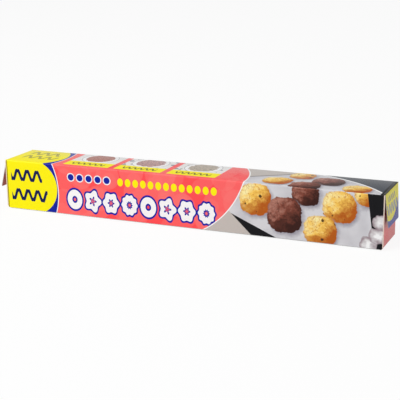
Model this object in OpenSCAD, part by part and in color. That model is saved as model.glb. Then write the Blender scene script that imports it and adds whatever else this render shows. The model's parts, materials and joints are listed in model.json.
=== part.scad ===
// Boxed roll of baking paper: a paper roll on a board core, lying in a folded
// board tray whose hinged lid carries a front flap, a cutter and two end flaps.
// Origin at the middle of the base, X along the roll, Y to the back, Z up.

/* [Paper] */
// Width of the paper, which is the length of the roll
paper_w = 300; // [200:5:450]
// Length of paper wound on the core
paper_len = 5000; // [3000:500:12000]
// Thickness of one sheet
paper_t = 0.05; // [0.04:0.01:0.08]
// Share by which the winding is looser than solid paper
wind_looseness = 0.1; // [0.02:0.01:0.25]
// Turns drawn in the roll, each standing for several real turns
drawn_turns = 7; // [4:1:10]
// Gap drawn between one turn and the next
turn_gap = 0.06; // [0.03:0.01:0.08]
// How far the loose end of the paper stands off the roll
tail_lift = 1.6; // [0.4:0.1:2.4]
// Angle of the roll over which the loose end lifts
tail_angle = 54; // [27:9:90]

/* [Core] */
// Outside diameter of the core tube
core_d = 33; // [24:0.5:40]
// Wall of the core tube
core_wall = 1.3; // [0.8:0.1:2.5]
// Length of core that stands out of each end of the roll
core_proud = 1; // [0:0.5:1.5]

/* [Board] */
// Thickness of the carton board
board_t = 0.45; // [0.3:0.05:0.6]
// Outside radius of the tray's rounded folds
fold_r = 1; // [0.8:0.1:2]
// Running gap round the bead of a hinged crease
crease_gap = 0.05; // [0.03:0.01:0.08]

/* [Room in the tray] */
// Room in front of the roll and behind it
side_room = 0.5; // [0.4:0.1:4]
// Room between the roll and the closed lid
head_room = 1.5; // [1.2:0.1:6]
// Gap under the roll where it rests
seat_gap = 0.15; // [0.1:0.05:0.3]
// Room between each end of the paper and the end of the carton
end_room = 5; // [4.5:0.5:15]

/* [Tray] */
// Gap between the front wall and the front flap
front_gap = 0.7; // [0.6:0.1:1.5]
// Gap between an end wall and an end flap that hangs straight
end_gap = 0.75; // [0.6:0.05:1.5]
// How far the front and end walls stop below the lid
wall_drop = 0.85; // [0.7:0.05:8]
// Length of the flaps that fold in behind each end wall
dust_flap_len = 17; // [6:1:18]
// How far those flaps stop below the top of the end wall
dust_flap_drop = 3; // [0:0.5:12]
// How far the end walls stop short of the tray's long faces
end_wall_inset = 0.6; // [0.3:0.1:2]
// Size of the cut corners at the top of the end walls
end_wall_corner = 2.5; // [1:0.5:6]

/* [Front flap] */
// Height of the front flap's lower edge above the base
front_flap_rise = 1; // [0.8:0.1:8]
// Size of the cut corners at the ends of that edge
front_flap_corner = 1.5; // [0.5:0.5:6]

/* [Cutter] */
// Height of the cutter strip without its teeth
cutter_h = 8; // [4:0.5:12]
// Thickness of the cutter strip
cutter_t = 0.25; // [0.15:0.05:0.3]
// Distance from one tooth to the next
tooth_pitch = 2; // [1.5:0.5:4]
// Height of a tooth
tooth_h = 1.2; // [0.8:0.1:2]
// How far the points stand below the front flap
tooth_show = 0.6; // [0.2:0.1:0.7]
// Distance from each end of the carton to the cutter
cutter_margin = 5; // [3:0.5:20]

/* [End flaps] */
// Height of the end flaps
end_flap_drop = 25.5; // [12:0.5:32]
// Distance from the carton's long faces to an end flap
end_flap_inset = 1.6; // [1.4:0.1:4]
// Slope of the end flaps' sides
end_flap_taper = 8; // [0:1:18]
// Radius of the end flaps' lower corners
end_flap_corner = 1.2; // [0.5:0.1:5]
// Angle at which the left end flap stands off the end wall
left_flap_angle = 20; // [2:0.5:45]
// Angle at which the right end flap stands off the end wall
right_flap_angle = 4.5; // [2:0.5:45]

/* [Hidden] */
$fn = 48;

// Roll
core_r = core_d / 2;
wrap_gap = 0.05;
roll_area = paper_len * paper_t * (1 + wind_looseness);
roll_r = sqrt(pow(core_r, 2) + roll_area / PI);
turn_pitch = (roll_r - core_r - wrap_gap) / drawn_turns;
tail_end = 135;
step_angle = 9;

// Carton outside
carton_l = paper_w + 2 * end_room;
carton_d = 2 * (roll_r + side_room) + 3 * board_t + front_gap;
carton_h = 2 * roll_r + 2 * board_t + seat_gap + head_room;
y_front = -carton_d / 2;
y_back = carton_d / 2;

// Hinged creases: a bead as thick as the two sides of the board, touching both outer faces
bead_r = board_t;
seat_r = bead_r + crease_gap;
crease_z = carton_h - bead_r;
front_crease_y = y_front + bead_r;
back_crease_y = y_back - bead_r;
end_crease_x = carton_l / 2 - bead_r;
mitre = 47.5;
mitre_run = board_t * tan(mitre);

// Tray
tray_l = carton_l - 2 * (board_t + end_gap);
wall_y = y_front + board_t + front_gap;
wall_top = carton_h - board_t - wall_drop;
flap_x = tray_l / 2 - board_t;
channel_l = 2 * (flap_x - fold_r);
roll_y = (wall_y + board_t + y_back - board_t) / 2;
roll_z = board_t + seat_gap + roll_r;

// End flaps
notch_gap = 0.15;
end_flap_w = carton_d - 2 * end_flap_inset;

// Inks of the print
yellow_ink = "#faee08";
blue_ink = "#0a23a0";
coral_ink = "#fa5258";
white_ink = "#f8f8f8";
pale_ink = "#d8d7db";
dark_ink = "#2a2b30";
golden_crust = "#e9b860";
cocoa_crust = "#5e3226";
front_inks = [white_ink, blue_ink, yellow_ink, blue_ink, golden_crust, cocoa_crust,
              coral_ink, pale_ink, dark_ink];
lid_inks = [yellow_ink, yellow_ink, blue_ink, pale_ink, golden_crust, cocoa_crust,
            coral_ink, pale_ink, dark_ink];
end_inks = [yellow_ink, blue_ink];
print_fn = 20;
print_margin = 1;

// Printed fields with a round edge: how far they reach from the left end, and the edge's radius
yellow_reach = 47.6;
yellow_r = 21.8;
blue_reach = 48.4;
blue_r = 55;
lid_yellow_reach = 43.9;
lid_yellow_r = 29;
lid_blue_reach = 45.4;
lid_blue_r = 80;
end_field_r = 28.8;
end_field_y = 14.2;
end_field_rise = 7.5;
dark_strip = 9;

// The coral field ends where the picture starts, at the same place of the front fold on both panels
picture_l = 104.6;
coral_reach = carton_l - picture_l;
coral_r = 70;
coral_rise = 21.7;
coral_mid = coral_reach - sqrt(pow(coral_r, 2) - pow(coral_rise, 2));
coral_back = coral_reach - coral_r + sqrt(pow(coral_r, 2) - pow(carton_d, 2));

// Sheet of paper in the picture, whose round edge would reach past the right end and the back edge
sheet_past = 22.5;
sheet_top = 44.2;
sheet_r = 108.8;
sheet_x = carton_l + sheet_past - sheet_r;
sheet_mid = sheet_top - sheet_r;

// Row of biscuit-cutter shapes on the front, as many as the coral field has room for
shape_start = 63.5;
shape_mid = 13.5;
shape_r = 6.5;
shape_rim = 1.35;
shape_gap = 0.4;
shape_pitch = 2 * (shape_r + shape_rim) + shape_gap;
shape_drop = carton_h + coral_rise - shape_mid;
shape_last = coral_mid + sqrt(pow(coral_r - shape_r - shape_rim, 2) - pow(shape_drop, 2));
shape_count = 1 + floor((shape_last - shape_start) / shape_pitch);
ring_wall = 3.4;
petals = 6;
petal_place = 0.55;

// Pale panels on the lid, with a yellow strip along each
panel_start = 51.5;
panel_l = 40;
panel_gap = 5;
panel_pitch = panel_l + panel_gap;
panel_count = floor((coral_back - panel_start) / panel_pitch);
panel_strip = 13;
panel_margin = 3.5;

// Biscuits in the picture, golden and cocoa in turn, in a row that sways up and down
biscuit_r = 11;
biscuit_gap = 1.2;
biscuit_sway = 4;
biscuit_pitch = 2 * biscuit_r + biscuit_gap;
front_biscuits = floor((picture_l - dark_strip) / biscuit_pitch);
lid_row = 16;
lid_last = sheet_x + sqrt(pow(sheet_r - biscuit_r, 2) - pow(lid_row + biscuit_sway - sheet_mid, 2));
lid_biscuits = floor((lid_last - coral_reach) / biscuit_pitch + 0.5);

// Draws a profile of Y and Z and extrudes it along X, about the middle
module along_x(len) {
    rotate([90, 0, 90])
        translate([0, 0, -len / 2])
            linear_extrude(height = len)
                children();
}

// Draws a profile of X and Z and extrudes it along Y, about the given place
module along_y(len, y_mid) {
    translate([0, y_mid + len / 2, 0])
        rotate([90, 0, 0])
            linear_extrude(height = len)
                children();
}

// Points of an arc, for the outlines of flat pieces
function arc(centre, r, from, to, n = 8) =
    [for (i = [0 : n]) centre + r * [cos(from + (to - from) * i / n), sin(from + (to - from) * i / n)]];

// One rounded fold of the board in section, in the quadrant that the turn gives
module fold(centre, turn) {
    translate(centre)
        rotate(turn)
            intersection() {
                difference() {
                    circle(r = fold_r);
                    circle(r = fold_r - board_t);
                }
                square(fold_r);
            }
}

// Front wall, bottom and back wall in section, with the bead of the lid's crease
module channel_section() {
    translate([wall_y, fold_r])
        square([board_t, wall_top - fold_r]);
    fold([wall_y + fold_r, fold_r], 180);
    translate([wall_y + fold_r, 0])
        square([y_back - wall_y - 2 * fold_r, board_t]);
    fold([y_back - fold_r, fold_r], 270);
    polygon([
        [back_crease_y, fold_r],
        [y_back, fold_r],
        [y_back, crease_z - mitre_run],
        [back_crease_y, crease_z]
    ]);
    translate([back_crease_y, crease_z])
        circle(r = bead_r);
}

// A long wall's flap, folded round the tray's corner and in behind the end wall, in plan
module dust_flap_plan() {
    fold([flap_x - fold_r, fold_r], 270);
    translate([flap_x - board_t, fold_r])
        square([board_t, dust_flap_len]);
}

module dust_flaps() {
    height = wall_top - dust_flap_drop - fold_r;
    for (side = [0, 1])
        mirror([side, 0, 0])
            translate([0, 0, fold_r]) {
                translate([0, wall_y, 0])
                    linear_extrude(height = height)
                        dust_flap_plan();
                translate([0, y_back, 0])
                    mirror([0, 1, 0])
                        linear_extrude(height = height)
                            dust_flap_plan();
            }
}

// The bottom's end flap, folded up over the dust flaps, which makes the end wall
module end_wall() {
    wall_w = y_back - wall_y - 2 * end_wall_inset;
    y_mid = (wall_y + y_back) / 2;
    intersection() {
        along_y(wall_w, y_mid) {
            translate([channel_l / 2, 0])
                square([tray_l / 2 - fold_r - channel_l / 2, board_t]);
            fold([tray_l / 2 - fold_r, fold_r], 270);
            translate([flap_x, fold_r])
                square([board_t, wall_top - fold_r]);
        }
        translate([0, y_mid, 0])
            along_x(carton_l)
                polygon([
                    [-wall_w, 0],
                    [wall_w, 0],
                    [wall_w, wall_top - end_wall_corner - wall_w / 2],
                    [wall_w / 2 - end_wall_corner, wall_top],
                    [end_wall_corner - wall_w / 2, wall_top],
                    [-wall_w, wall_top - end_wall_corner - wall_w / 2]
                ]);
    }
}

module carton_tray() {
    color(coral_ink) {
        along_x(channel_l)
            channel_section();
        dust_flaps();
        for (side = [0, 1])
            mirror([side, 0, 0])
                end_wall();
    }
}

// The lid's top board in section: mitred at the back crease, with the front crease's bead
module lid_section() {
    difference() {
        polygon([
            [front_crease_y, crease_z],
            [back_crease_y, crease_z],
            [back_crease_y - mitre_run, carton_h],
            [front_crease_y, carton_h]
        ]);
        translate([back_crease_y, crease_z])
            circle(r = seat_r);
    }
    translate([front_crease_y, crease_z])
        circle(r = bead_r);
}

// The lid's board, without its print
module lid_board() {
    notch_w = end_flap_w + 2 * notch_gap;
    difference() {
        along_x(carton_l)
            lid_section();
        for (side = [-1, 1])
            translate([side * (end_crease_x + board_t), 0, crease_z])
                cube([2 * board_t, notch_w, 4 * board_t], center = true);
    }
    for (side = [-1, 1])
        translate([side * end_crease_x, 0, crease_z])
            rotate([90, 0, 0])
                cylinder(r = bead_r, h = end_flap_w, center = true);
}

// Lifts a field drawn from the front's lower left corner onto the front
module on_front() {
    along_y(board_t + 2 * print_margin, y_front + board_t / 2)
        translate([-carton_l / 2, 0])
            intersection() {
                ground(carton_h);
                children();
            }
}

// Lifts a field drawn from the left end of the front fold onto the lid
module on_lid() {
    translate([-carton_l / 2, y_front, crease_z - bead_r - print_margin])
        linear_extrude(height = 2 * (bead_r + print_margin))
            intersection() {
                ground(carton_d);
                children();
            }
}

// A field that starts at the left end and reaches to a round edge
module end_field(reach, r, mid) {
    translate([reach - r, mid])
        circle(r = r);
    translate([-carton_l, -carton_l])
        square([carton_l + reach - r, 2 * carton_l]);
}

// The row of biscuit-cutter shapes: rounds, rings and flowers in turn, grown by a rim
module cutter_shapes(rim) {
    for (i = [0 : shape_count - 1])
        translate([shape_start + i * shape_pitch, shape_mid])
            if (i % 3 == 1)
                difference() {
                    circle(r = shape_r + rim, $fn = print_fn);
                    circle(r = shape_r - ring_wall - rim, $fn = print_fn);
                }
            else if (i % 3 == 2)
                for (turn = [0 : 360 / petals : 359])
                    rotate(turn)
                        translate([shape_r * petal_place, 0])
                            circle(r = shape_r * (1 - petal_place) + rim, $fn = print_fn);
            else
                circle(r = shape_r + rim, $fn = print_fn);
}

// Every second round biscuit of a row along the middle of a panel
module biscuits(first, count, mid) {
    for (i = [first : 2 : count - 1])
        translate([coral_reach + (i + 0.5) * biscuit_pitch, mid + biscuit_sway * (i % 2 == 0 ? 1 : -1)])
            circle(r = biscuit_r, $fn = print_fn);
}

// The pale panels on the lid, or the yellow strips along them
module lid_panels(width) {
    for (i = [0 : panel_count - 1])
        translate([panel_start + i * panel_pitch, panel_margin])
            square([panel_l, width]);
}

// The whole ground under a print of the given height, a little larger than the board
module ground(height) {
    translate([-print_margin, -print_margin])
        square([carton_l + 2 * print_margin, height + 2 * print_margin]);
}

// Fields of the lid's print, in the order of lid_inks, each over those that follow it
module lid_field(k) {
    if (k == 0) lid_panels(panel_strip);
    if (k == 1) end_field(lid_yellow_reach, lid_yellow_r, carton_d / 2);
    if (k == 2) end_field(lid_blue_reach, lid_blue_r, carton_d / 2);
    if (k == 3) lid_panels(carton_d);
    if (k == 4) biscuits(0, lid_biscuits, lid_row);
    if (k == 5) biscuits(1, lid_biscuits, lid_row);
    if (k == 6) end_field(coral_reach, coral_r, 0);
    if (k == 7) end_field(sheet_x + sheet_r, sheet_r, sheet_mid);
    if (k == 8) ground(carton_d);
}

module lid_panel() {
    for (k = [0 : len(lid_inks) - 1])
        color(lid_inks[k])
            intersection() {
                lid_board();
                on_lid()
                    difference() {
                        lid_field(k);
                        for (over = [0 : 1 : k - 1])
                            lid_field(over);
                    }
            }
}

// The cover's board, without its print
module front_flap_board() {
    corner = front_flap_corner;
    difference() {
        along_y(board_t, y_front + board_t / 2)
            polygon([
                [-carton_l / 2, crease_z],
                [-carton_l / 2, front_flap_rise + corner],
                [corner - carton_l / 2, front_flap_rise],
                [carton_l / 2 - corner, front_flap_rise],
                [carton_l / 2, front_flap_rise + corner],
                [carton_l / 2, crease_z]
            ]);
        translate([0, front_crease_y, crease_z])
            rotate([0, 90, 0])
                cylinder(r = seat_r, h = 2 * carton_l, center = true);
    }
}

// Fields of the front's print, in the order of front_inks, each over those that follow it
module front_field(k) {
    if (k == 0) cutter_shapes(0);
    if (k == 1) cutter_shapes(shape_rim);
    if (k == 2) end_field(yellow_reach, yellow_r, carton_h / 2);
    if (k == 3) end_field(blue_reach, blue_r, carton_h / 2);
    if (k == 4) biscuits(0, front_biscuits, carton_h / 2);
    if (k == 5) biscuits(1, front_biscuits, carton_h / 2);
    if (k == 6) end_field(coral_mid + coral_r, coral_r, carton_h + coral_rise);
    if (k == 7) translate([-dark_strip, 0]) ground(carton_h);
    if (k == 8) ground(carton_h);
}

// The cover that hangs from the lid's front crease, over the tray's front wall
module front_flap() {
    for (k = [0 : len(front_inks) - 1])
        color(front_inks[k])
            intersection() {
                front_flap_board();
                on_front()
                    difference() {
                        front_field(k);
                        for (over = [0 : 1 : k - 1])
                            front_field(over);
                    }
            }
}

// Outline of a hanging end flap, as Y and the height below its crease
function end_flap_outline() =
    let (
        low = board_t - end_flap_drop,
        half_low = end_flap_w / 2 + low * tan(end_flap_taper),
        r = end_flap_corner,
        centre_y = half_low - r * tan(45 - end_flap_taper / 2)
    )
    concat(
        [[-end_flap_w / 2, 0]],
        arc([-centre_y, low + r], r, 180 + end_flap_taper, 270),
        arc([centre_y, low + r], r, 270, 360 - end_flap_taper),
        [[end_flap_w / 2, 0]]
    );

// The round yellow field of an end flap's print
module end_flap_round() {
    translate([y_front + end_field_y, end_field_rise])
        circle(r = end_field_r);
}

// A right-hand end flap, swung out about its crease
module end_flap(angle) {
    translate([end_crease_x, 0, crease_z])
        rotate([0, -angle, 0])
            for (k = [0, 1])
                color(end_inks[k])
                    difference() {
                        translate([board_t / 2, 0, 0])
                            along_x(board_t)
                                if (k == 0)
                                    intersection() {
                                        polygon(end_flap_outline());
                                        end_flap_round();
                                    }
                                else
                                    difference() {
                                        polygon(end_flap_outline());
                                        end_flap_round();
                                    }
                        rotate([90, 0, 0])
                            cylinder(r = seat_r, h = 2 * carton_d, center = true);
                    }
}

module left_end_flap() {
    mirror([1, 0, 0])
        end_flap(left_flap_angle);
}

module right_end_flap() {
    end_flap(right_flap_angle);
}

// Steel strip inside the front flap's lower edge, with its points just below the board
module cutter_strip() {
    length = carton_l - 2 * cutter_margin;
    teeth = floor(length / tooth_pitch);
    pitch = length / teeth;
    tip_z = front_flap_rise - tooth_show;
    root_z = tip_z + tooth_h;
    saw = [for (i = [0 : teeth - 1], tip = [0, 1])
        [(i + tip / 2) * pitch - length / 2, tip == 1 ? tip_z : root_z]];
    color("silver")
        along_y(cutter_t, y_front + board_t + cutter_t / 2)
            polygon(concat(
                saw,
                [[length / 2, root_z], [length / 2, root_z + cutter_h], [-length / 2, root_z + cutter_h]]
            ));
}

// Inner radius of the wound sheet after the given angle of winding, with the loose end lifting
function wound_r(angle, total) =
    core_r + wrap_gap + turn_pitch * angle / 360
    + tail_lift * pow(max(0, 1 - (total - angle) / tail_angle), 2);

// Thickness drawn for the sheet there, which thins to the loose end
function wound_t(angle, total) =
    (turn_pitch - turn_gap) * (1 - 0.6 * max(0, 1 - (total - angle) / tail_angle));

// The paper, wound as one spiral from the core to the loose end over the front
module paper_roll() {
    total = 360 * drawn_turns;
    first = tail_end - total;
    inner = [for (a = [0 : step_angle : total]) wound_r(a, total) * [cos(first + a), sin(first + a)]];
    outer = [for (a = [total : -step_angle : 0])
        (wound_r(a, total) + wound_t(a, total)) * [cos(first + a), sin(first + a)]];
    color("ivory")
        translate([0, roll_y, roll_z])
            along_x(paper_w)
                polygon(concat(inner, outer));
}

module core_tube() {
    color("burlywood")
        translate([0, roll_y, roll_z])
            along_x(paper_w + 2 * core_proud)
                difference() {
                    circle(r = core_r);
                    circle(r = core_r - core_wall);
                }
}

carton_tray();
lid_panel();
front_flap();
left_end_flap();
right_end_flap();
cutter_strip();
paper_roll();
core_tube();
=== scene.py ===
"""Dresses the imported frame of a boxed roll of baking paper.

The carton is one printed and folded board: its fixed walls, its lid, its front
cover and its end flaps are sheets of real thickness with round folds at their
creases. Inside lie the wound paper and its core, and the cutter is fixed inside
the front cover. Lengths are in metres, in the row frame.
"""

import json
import logging
import math
from collections.abc import Callable, Sequence
from dataclasses import dataclass
from enum import Enum, IntEnum

import bmesh
import bpy
from mathutils import Matrix, Vector, noise


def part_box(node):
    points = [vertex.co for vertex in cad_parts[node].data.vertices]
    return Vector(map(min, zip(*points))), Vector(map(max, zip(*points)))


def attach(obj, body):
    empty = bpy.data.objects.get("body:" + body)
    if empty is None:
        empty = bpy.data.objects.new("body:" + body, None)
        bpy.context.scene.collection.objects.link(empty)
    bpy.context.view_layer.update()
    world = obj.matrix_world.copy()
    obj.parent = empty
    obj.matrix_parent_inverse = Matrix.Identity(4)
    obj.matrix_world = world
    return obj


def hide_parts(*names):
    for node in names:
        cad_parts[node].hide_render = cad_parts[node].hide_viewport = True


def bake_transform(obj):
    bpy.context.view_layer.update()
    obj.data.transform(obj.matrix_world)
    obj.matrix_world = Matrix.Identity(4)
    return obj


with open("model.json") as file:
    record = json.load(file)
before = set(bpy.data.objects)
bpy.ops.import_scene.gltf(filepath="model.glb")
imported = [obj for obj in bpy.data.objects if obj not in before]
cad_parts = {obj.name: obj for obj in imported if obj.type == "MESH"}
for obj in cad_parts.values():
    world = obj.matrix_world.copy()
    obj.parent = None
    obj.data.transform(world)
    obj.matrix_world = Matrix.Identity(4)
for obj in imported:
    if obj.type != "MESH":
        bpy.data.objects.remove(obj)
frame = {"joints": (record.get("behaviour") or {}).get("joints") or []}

MM = 0.001
BLANK_MAP = "Blank"
log = logging.getLogger("baking_paper_box")

Socket = bpy.types.NodeSocket
Ink = tuple[float, float, float, float]
Flat = tuple[float, float]
Place = tuple[float, float, float]
EDGE_SOFT = 0.12
NUMBER_RESULTS = "LENGTH", "DISTANCE"


class Face(IntEnum):
    """Material places on a sheet of board."""

    OUTSIDE = 0
    INSIDE = 1
    CUT = 2
    NEXT_PANEL = 3
    THIRD_PANEL = 4


class Sweep(Enum):
    """The row axis along which a folded section is drawn out."""

    ALONG_X = "x"
    ALONG_Y = "y"
    ALONG_Z = "z"

    def place(self, flat: Flat, along: float) -> Vector:
        """Puts a point of the section into the row frame.

        Args:
            flat: The point in the section's own plane.
            along: How far along the sweep's axis it lies.

        Returns:
            The point in the row frame.
        """
        if self is Sweep.ALONG_X:
            return Vector((along, flat[0], flat[1]))
        if self is Sweep.ALONG_Y:
            return Vector((flat[0], along, flat[1]))
        return Vector((flat[0], flat[1], along))


class End(IntEnum):
    """The two ends of the carton, as the sign of X."""

    LEFT = -1
    RIGHT = 1


def ink(red: int, green: int, blue: int) -> Ink:
    """Turns a printed colour from 0 to 255 into the linear colour of a socket.

    Args:
        red: Red share of the colour.
        green: Green share of the colour.
        blue: Blue share of the colour.

    Returns:
        The linear colour with full alpha.
    """
    shares = []
    for value in (red, green, blue):
        s = value / 255
        shares.append(s / 12.92 if s <= 0.04045 else ((s + 0.055) / 1.055) ** 2.4)
    return (shares[0], shares[1], shares[2], 1.0)


@dataclass(frozen=True)
class Carton:
    """Sizes of the carton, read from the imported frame."""

    length: float
    front_y: float
    back_y: float
    top_z: float
    board: float
    wall_y: float
    wall_top: float
    tray_length: float
    flap_rise: float
    fold_radius: float = 1.2 * MM
    tray_fold: float = 1.0 * MM
    lap: float = 0.3 * MM

    @classmethod
    def from_frame(cls) -> "Carton":
        """Reads the sizes from the boxes of the CAD nodes.

        Returns:
            The carton's sizes.
        """
        cover_low, cover_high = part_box("front_flap")
        tray_low, tray_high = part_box("carton_tray")
        top_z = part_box("lid_panel")[1].z
        board = cover_high.y - cover_low.y
        wall_drop = 0.85 * MM
        return cls(
            length=cover_high.x - cover_low.x,
            front_y=cover_low.y,
            back_y=tray_high.y,
            top_z=top_z,
            board=board,
            wall_y=tray_low.y,
            wall_top=top_z - board - wall_drop,
            tray_length=tray_high.x - tray_low.x,
            flap_rise=cover_low.z,
        )

    @property
    def depth(self) -> float:
        """Distance from the front face to the back face."""
        return self.back_y - self.front_y

    @property
    def fold_length(self) -> float:
        """Length of board in a hinged fold's outer face."""
        return math.pi / 2 * self.fold_radius

    @property
    def top_start(self) -> float:
        """Height on the blank at which the top panel starts."""
        return self.top_z - self.fold_radius + self.fold_length / 2

    @property
    def top_flat(self) -> float:
        """Height on the blank at which the top panel turns flat."""
        return self.top_z - self.fold_radius + self.fold_length

    @property
    def back_flat(self) -> float:
        """Height on the blank at which the back wall turns flat."""
        return self.top_flat + self.depth - 2 * self.fold_radius + self.fold_length

    @property
    def back_start(self) -> float:
        """Height on the blank at which the back panel starts."""
        return self.back_flat - self.fold_length / 2

    @property
    def base_start(self) -> float:
        """Height on the blank at which the bottom panel starts."""
        quarter = math.pi / 4 * self.tray_fold
        return self.back_flat + self.top_z - self.fold_radius - self.tray_fold + quarter

    @property
    def wall_start(self) -> float:
        """Height on the blank at which the tray's front wall starts."""
        flat = self.back_y - self.wall_y - 2 * self.tray_fold
        return self.base_start + flat + math.pi / 2 * self.tray_fold


def place_in_scene(name: str, data: bpy.types.ID) -> bpy.types.Object:
    """Makes an object of some data and links it to the scene.

    Args:
        name: Name of the object.
        data: Its mesh, lamp or camera.

    Returns:
        The object.
    """
    made = bpy.data.objects.new(name, data)
    bpy.context.scene.collection.objects.link(made)
    return made


def solid_piece(
    name: str, mesh: bmesh.types.BMesh, finishes: Sequence[bpy.types.Material]
) -> bpy.types.Object:
    """Turns a finished mesh into an object, and frees the mesh.

    Args:
        name: Name of the piece.
        mesh: Its mesh.
        finishes: Its materials, in the order of the material places.

    Returns:
        The object, linked to the scene.
    """
    data = bpy.data.meshes.new(name)
    mesh.to_mesh(data)
    mesh.free()
    for finish in finishes:
        data.materials.append(finish)
    return place_in_scene(name, data)


def sharpen(mesh: bmesh.types.BMesh) -> None:
    """Turns the faces outwards, and makes the edges between smooth and flat faces sharp."""
    bmesh.ops.recalc_face_normals(mesh, faces=mesh.faces)
    for edge in mesh.edges:
        edge.smooth = len({f.smooth for f in edge.link_faces}) == 1


@dataclass(frozen=True)
class Spot:
    """One point of a sheet's outer face, with its place on the flat blank."""

    point: Vector
    normal: Vector
    blank: Flat


class SectionPath:
    """A folded section: straight runs and round folds, followed along its outer face."""

    def __init__(self, start: Flat, heading: float, outside: int) -> None:
        """Starts the path.

        Args:
            start: First point of the outer face in the section's plane.
            heading: Direction of travel in degrees.
            outside: 1 where the outside is on the left of the path, -1 on the right.
        """
        self.outside = outside
        self.heading = math.radians(heading)
        self.point = Vector(start)
        self.travelled = 0.0
        self.marks: list[tuple[Vector, Vector, float]] = []
        self._mark()

    def _normal(self) -> Vector:
        """Direction that points out of the board."""
        angle = self.heading + self.outside * math.pi / 2
        return Vector((math.cos(angle), math.sin(angle)))

    def _mark(self) -> None:
        """Keeps the present point, its normal and the distance so far."""
        self.marks.append((self.point.copy(), self._normal(), self.travelled))

    def straight(self, length: float, steps: int = 1) -> "SectionPath":
        """Goes straight on.

        Args:
            length: Length of the run.
            steps: Number of equal parts that it is cut into.

        Returns:
            The path itself.
        """
        ahead = Vector((math.cos(self.heading), math.sin(self.heading)))
        for _ in range(steps):
            self.point = self.point + ahead * (length / steps)
            self.travelled += length / steps
            self._mark()
        return self

    def fold(self, angle: float, radius: float, steps: int = 8) -> "SectionPath":
        """Turns inwards, away from the outside, along an arc.

        Args:
            angle: Angle of the fold in degrees.
            radius: Radius of the outer face.
            steps: Number of parts of the arc.

        Returns:
            The path itself.
        """
        centre = self.point - self._normal() * radius
        turn = -self.outside * math.radians(angle) / steps
        for _ in range(steps):
            self.heading += turn
            self.point = centre + self._normal() * radius
            self.travelled += abs(turn) * radius
            self._mark()
        return self


class BoardMesh:
    """A mesh made of sheets of board, each a closed solid of the board's thickness."""

    def __init__(self, name: str, board: float) -> None:
        """Starts an empty mesh.

        Args:
            name: Name of the piece.
            board: Thickness of the board.
        """
        self.name = name
        self.board = board
        self.mesh = bmesh.new()
        self.map = self.mesh.loops.layers.uv.new(BLANK_MAP)

    def _quad(self, spots: Sequence[tuple[bmesh.types.BMVert, Flat]], place: int) -> None:
        """Adds one face.

        Args:
            spots: Its corners, each with its place on the blank.
            place: The material place of the face.
        """
        face = self.mesh.faces.new([v for v, _ in spots])
        face.material_index = place
        face.smooth = True
        for loop, (_, blank) in zip(face.loops, spots):
            loop[self.map].uv = blank

    def add(self, grid: Sequence[Sequence[Spot]], outer: Callable[[float], int]) -> None:
        """Adds a sheet whose outer face follows the grid.

        Args:
            grid: Rows of spots, with the same number in each row.
            outer: Gives the material place of an outer face from its height on the blank.
        """
        top = [[self.mesh.verts.new(s.point) for s in row] for row in grid]
        under = [[self.mesh.verts.new(s.point - s.normal * self.board) for s in row] for row in grid]
        first, right, up = grid[0][0], grid[0][1], grid[1][0]
        facing = (right.point - first.point).cross(up.point - first.point).dot(first.normal)
        rows, columns = len(grid), len(grid[0])

        def corner(verts: list, i: int, j: int) -> tuple[bmesh.types.BMVert, Flat]:
            """The vertex and the place on the blank of one corner."""
            return verts[i][j], grid[i][j].blank

        def ordered(corners: list, forward: bool) -> list:
            """The corners in the order that makes the face look outwards."""
            return corners if forward else corners[::-1]

        for i in range(rows - 1):
            for j in range(columns - 1):
                cell = [(i, j), (i, j + 1), (i + 1, j + 1), (i + 1, j)]
                height = sum(grid[a][b].blank[1] for a, b in cell) / 4
                self._quad(ordered([corner(top, a, b) for a, b in cell], facing > 0), outer(height))
                self._quad(ordered([corner(under, a, b) for a, b in cell], facing < 0), Face.INSIDE)
        edge = [(0, j) for j in range(columns)]
        edge += [(i, columns - 1) for i in range(1, rows)]
        edge += [(rows - 1, j) for j in range(columns - 2, -1, -1)]
        edge += [(i, 0) for i in range(rows - 2, 0, -1)]
        for (a, b), (c, d) in zip(edge, edge[1:] + edge[:1]):
            rim = [corner(top, a, b), corner(under, a, b), corner(under, c, d), corner(top, c, d)]
            self._quad(ordered(rim, facing > 0), Face.CUT)

    def finish(self, finishes: Sequence[bpy.types.Material]) -> bpy.types.Object:
        """Makes the Blender object.

        Args:
            finishes: The materials, in the order of the material places.

        Returns:
            The object, linked to the scene.
        """
        for edge in self.mesh.edges:
            places = {f.material_index == Face.CUT for f in edge.link_faces}
            edge.smooth = len(places) == 1
        return solid_piece(self.name, self.mesh, finishes)


def folded_grid(
    path: SectionPath,
    sweep: Sweep,
    reach: Callable[[float], tuple[float, float]],
    columns: int,
    blank: Callable[[float, Vector], Flat],
) -> list[list[Spot]]:
    """Draws a folded section out into the grid of a sheet's outer face.

    Args:
        path: The section.
        sweep: The axis along which it is drawn out.
        reach: The sheet's two edges along that axis, from the distance along the section.
        columns: Number of parts across the sheet.
        blank: The place on the blank, from the distance along the section and the point.

    Returns:
        Rows of spots.
    """
    rows = []
    for flat, normal, travelled in path.marks:
        low, high = reach(travelled)
        row = []
        for c in range(columns + 1):
            point = sweep.place(tuple(flat), low + (high - low) * c / columns)
            out = sweep.place(tuple(normal), 0.0)
            row.append(Spot(point, out, blank(travelled, point)))
        rows.append(row)
    return rows


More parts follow.
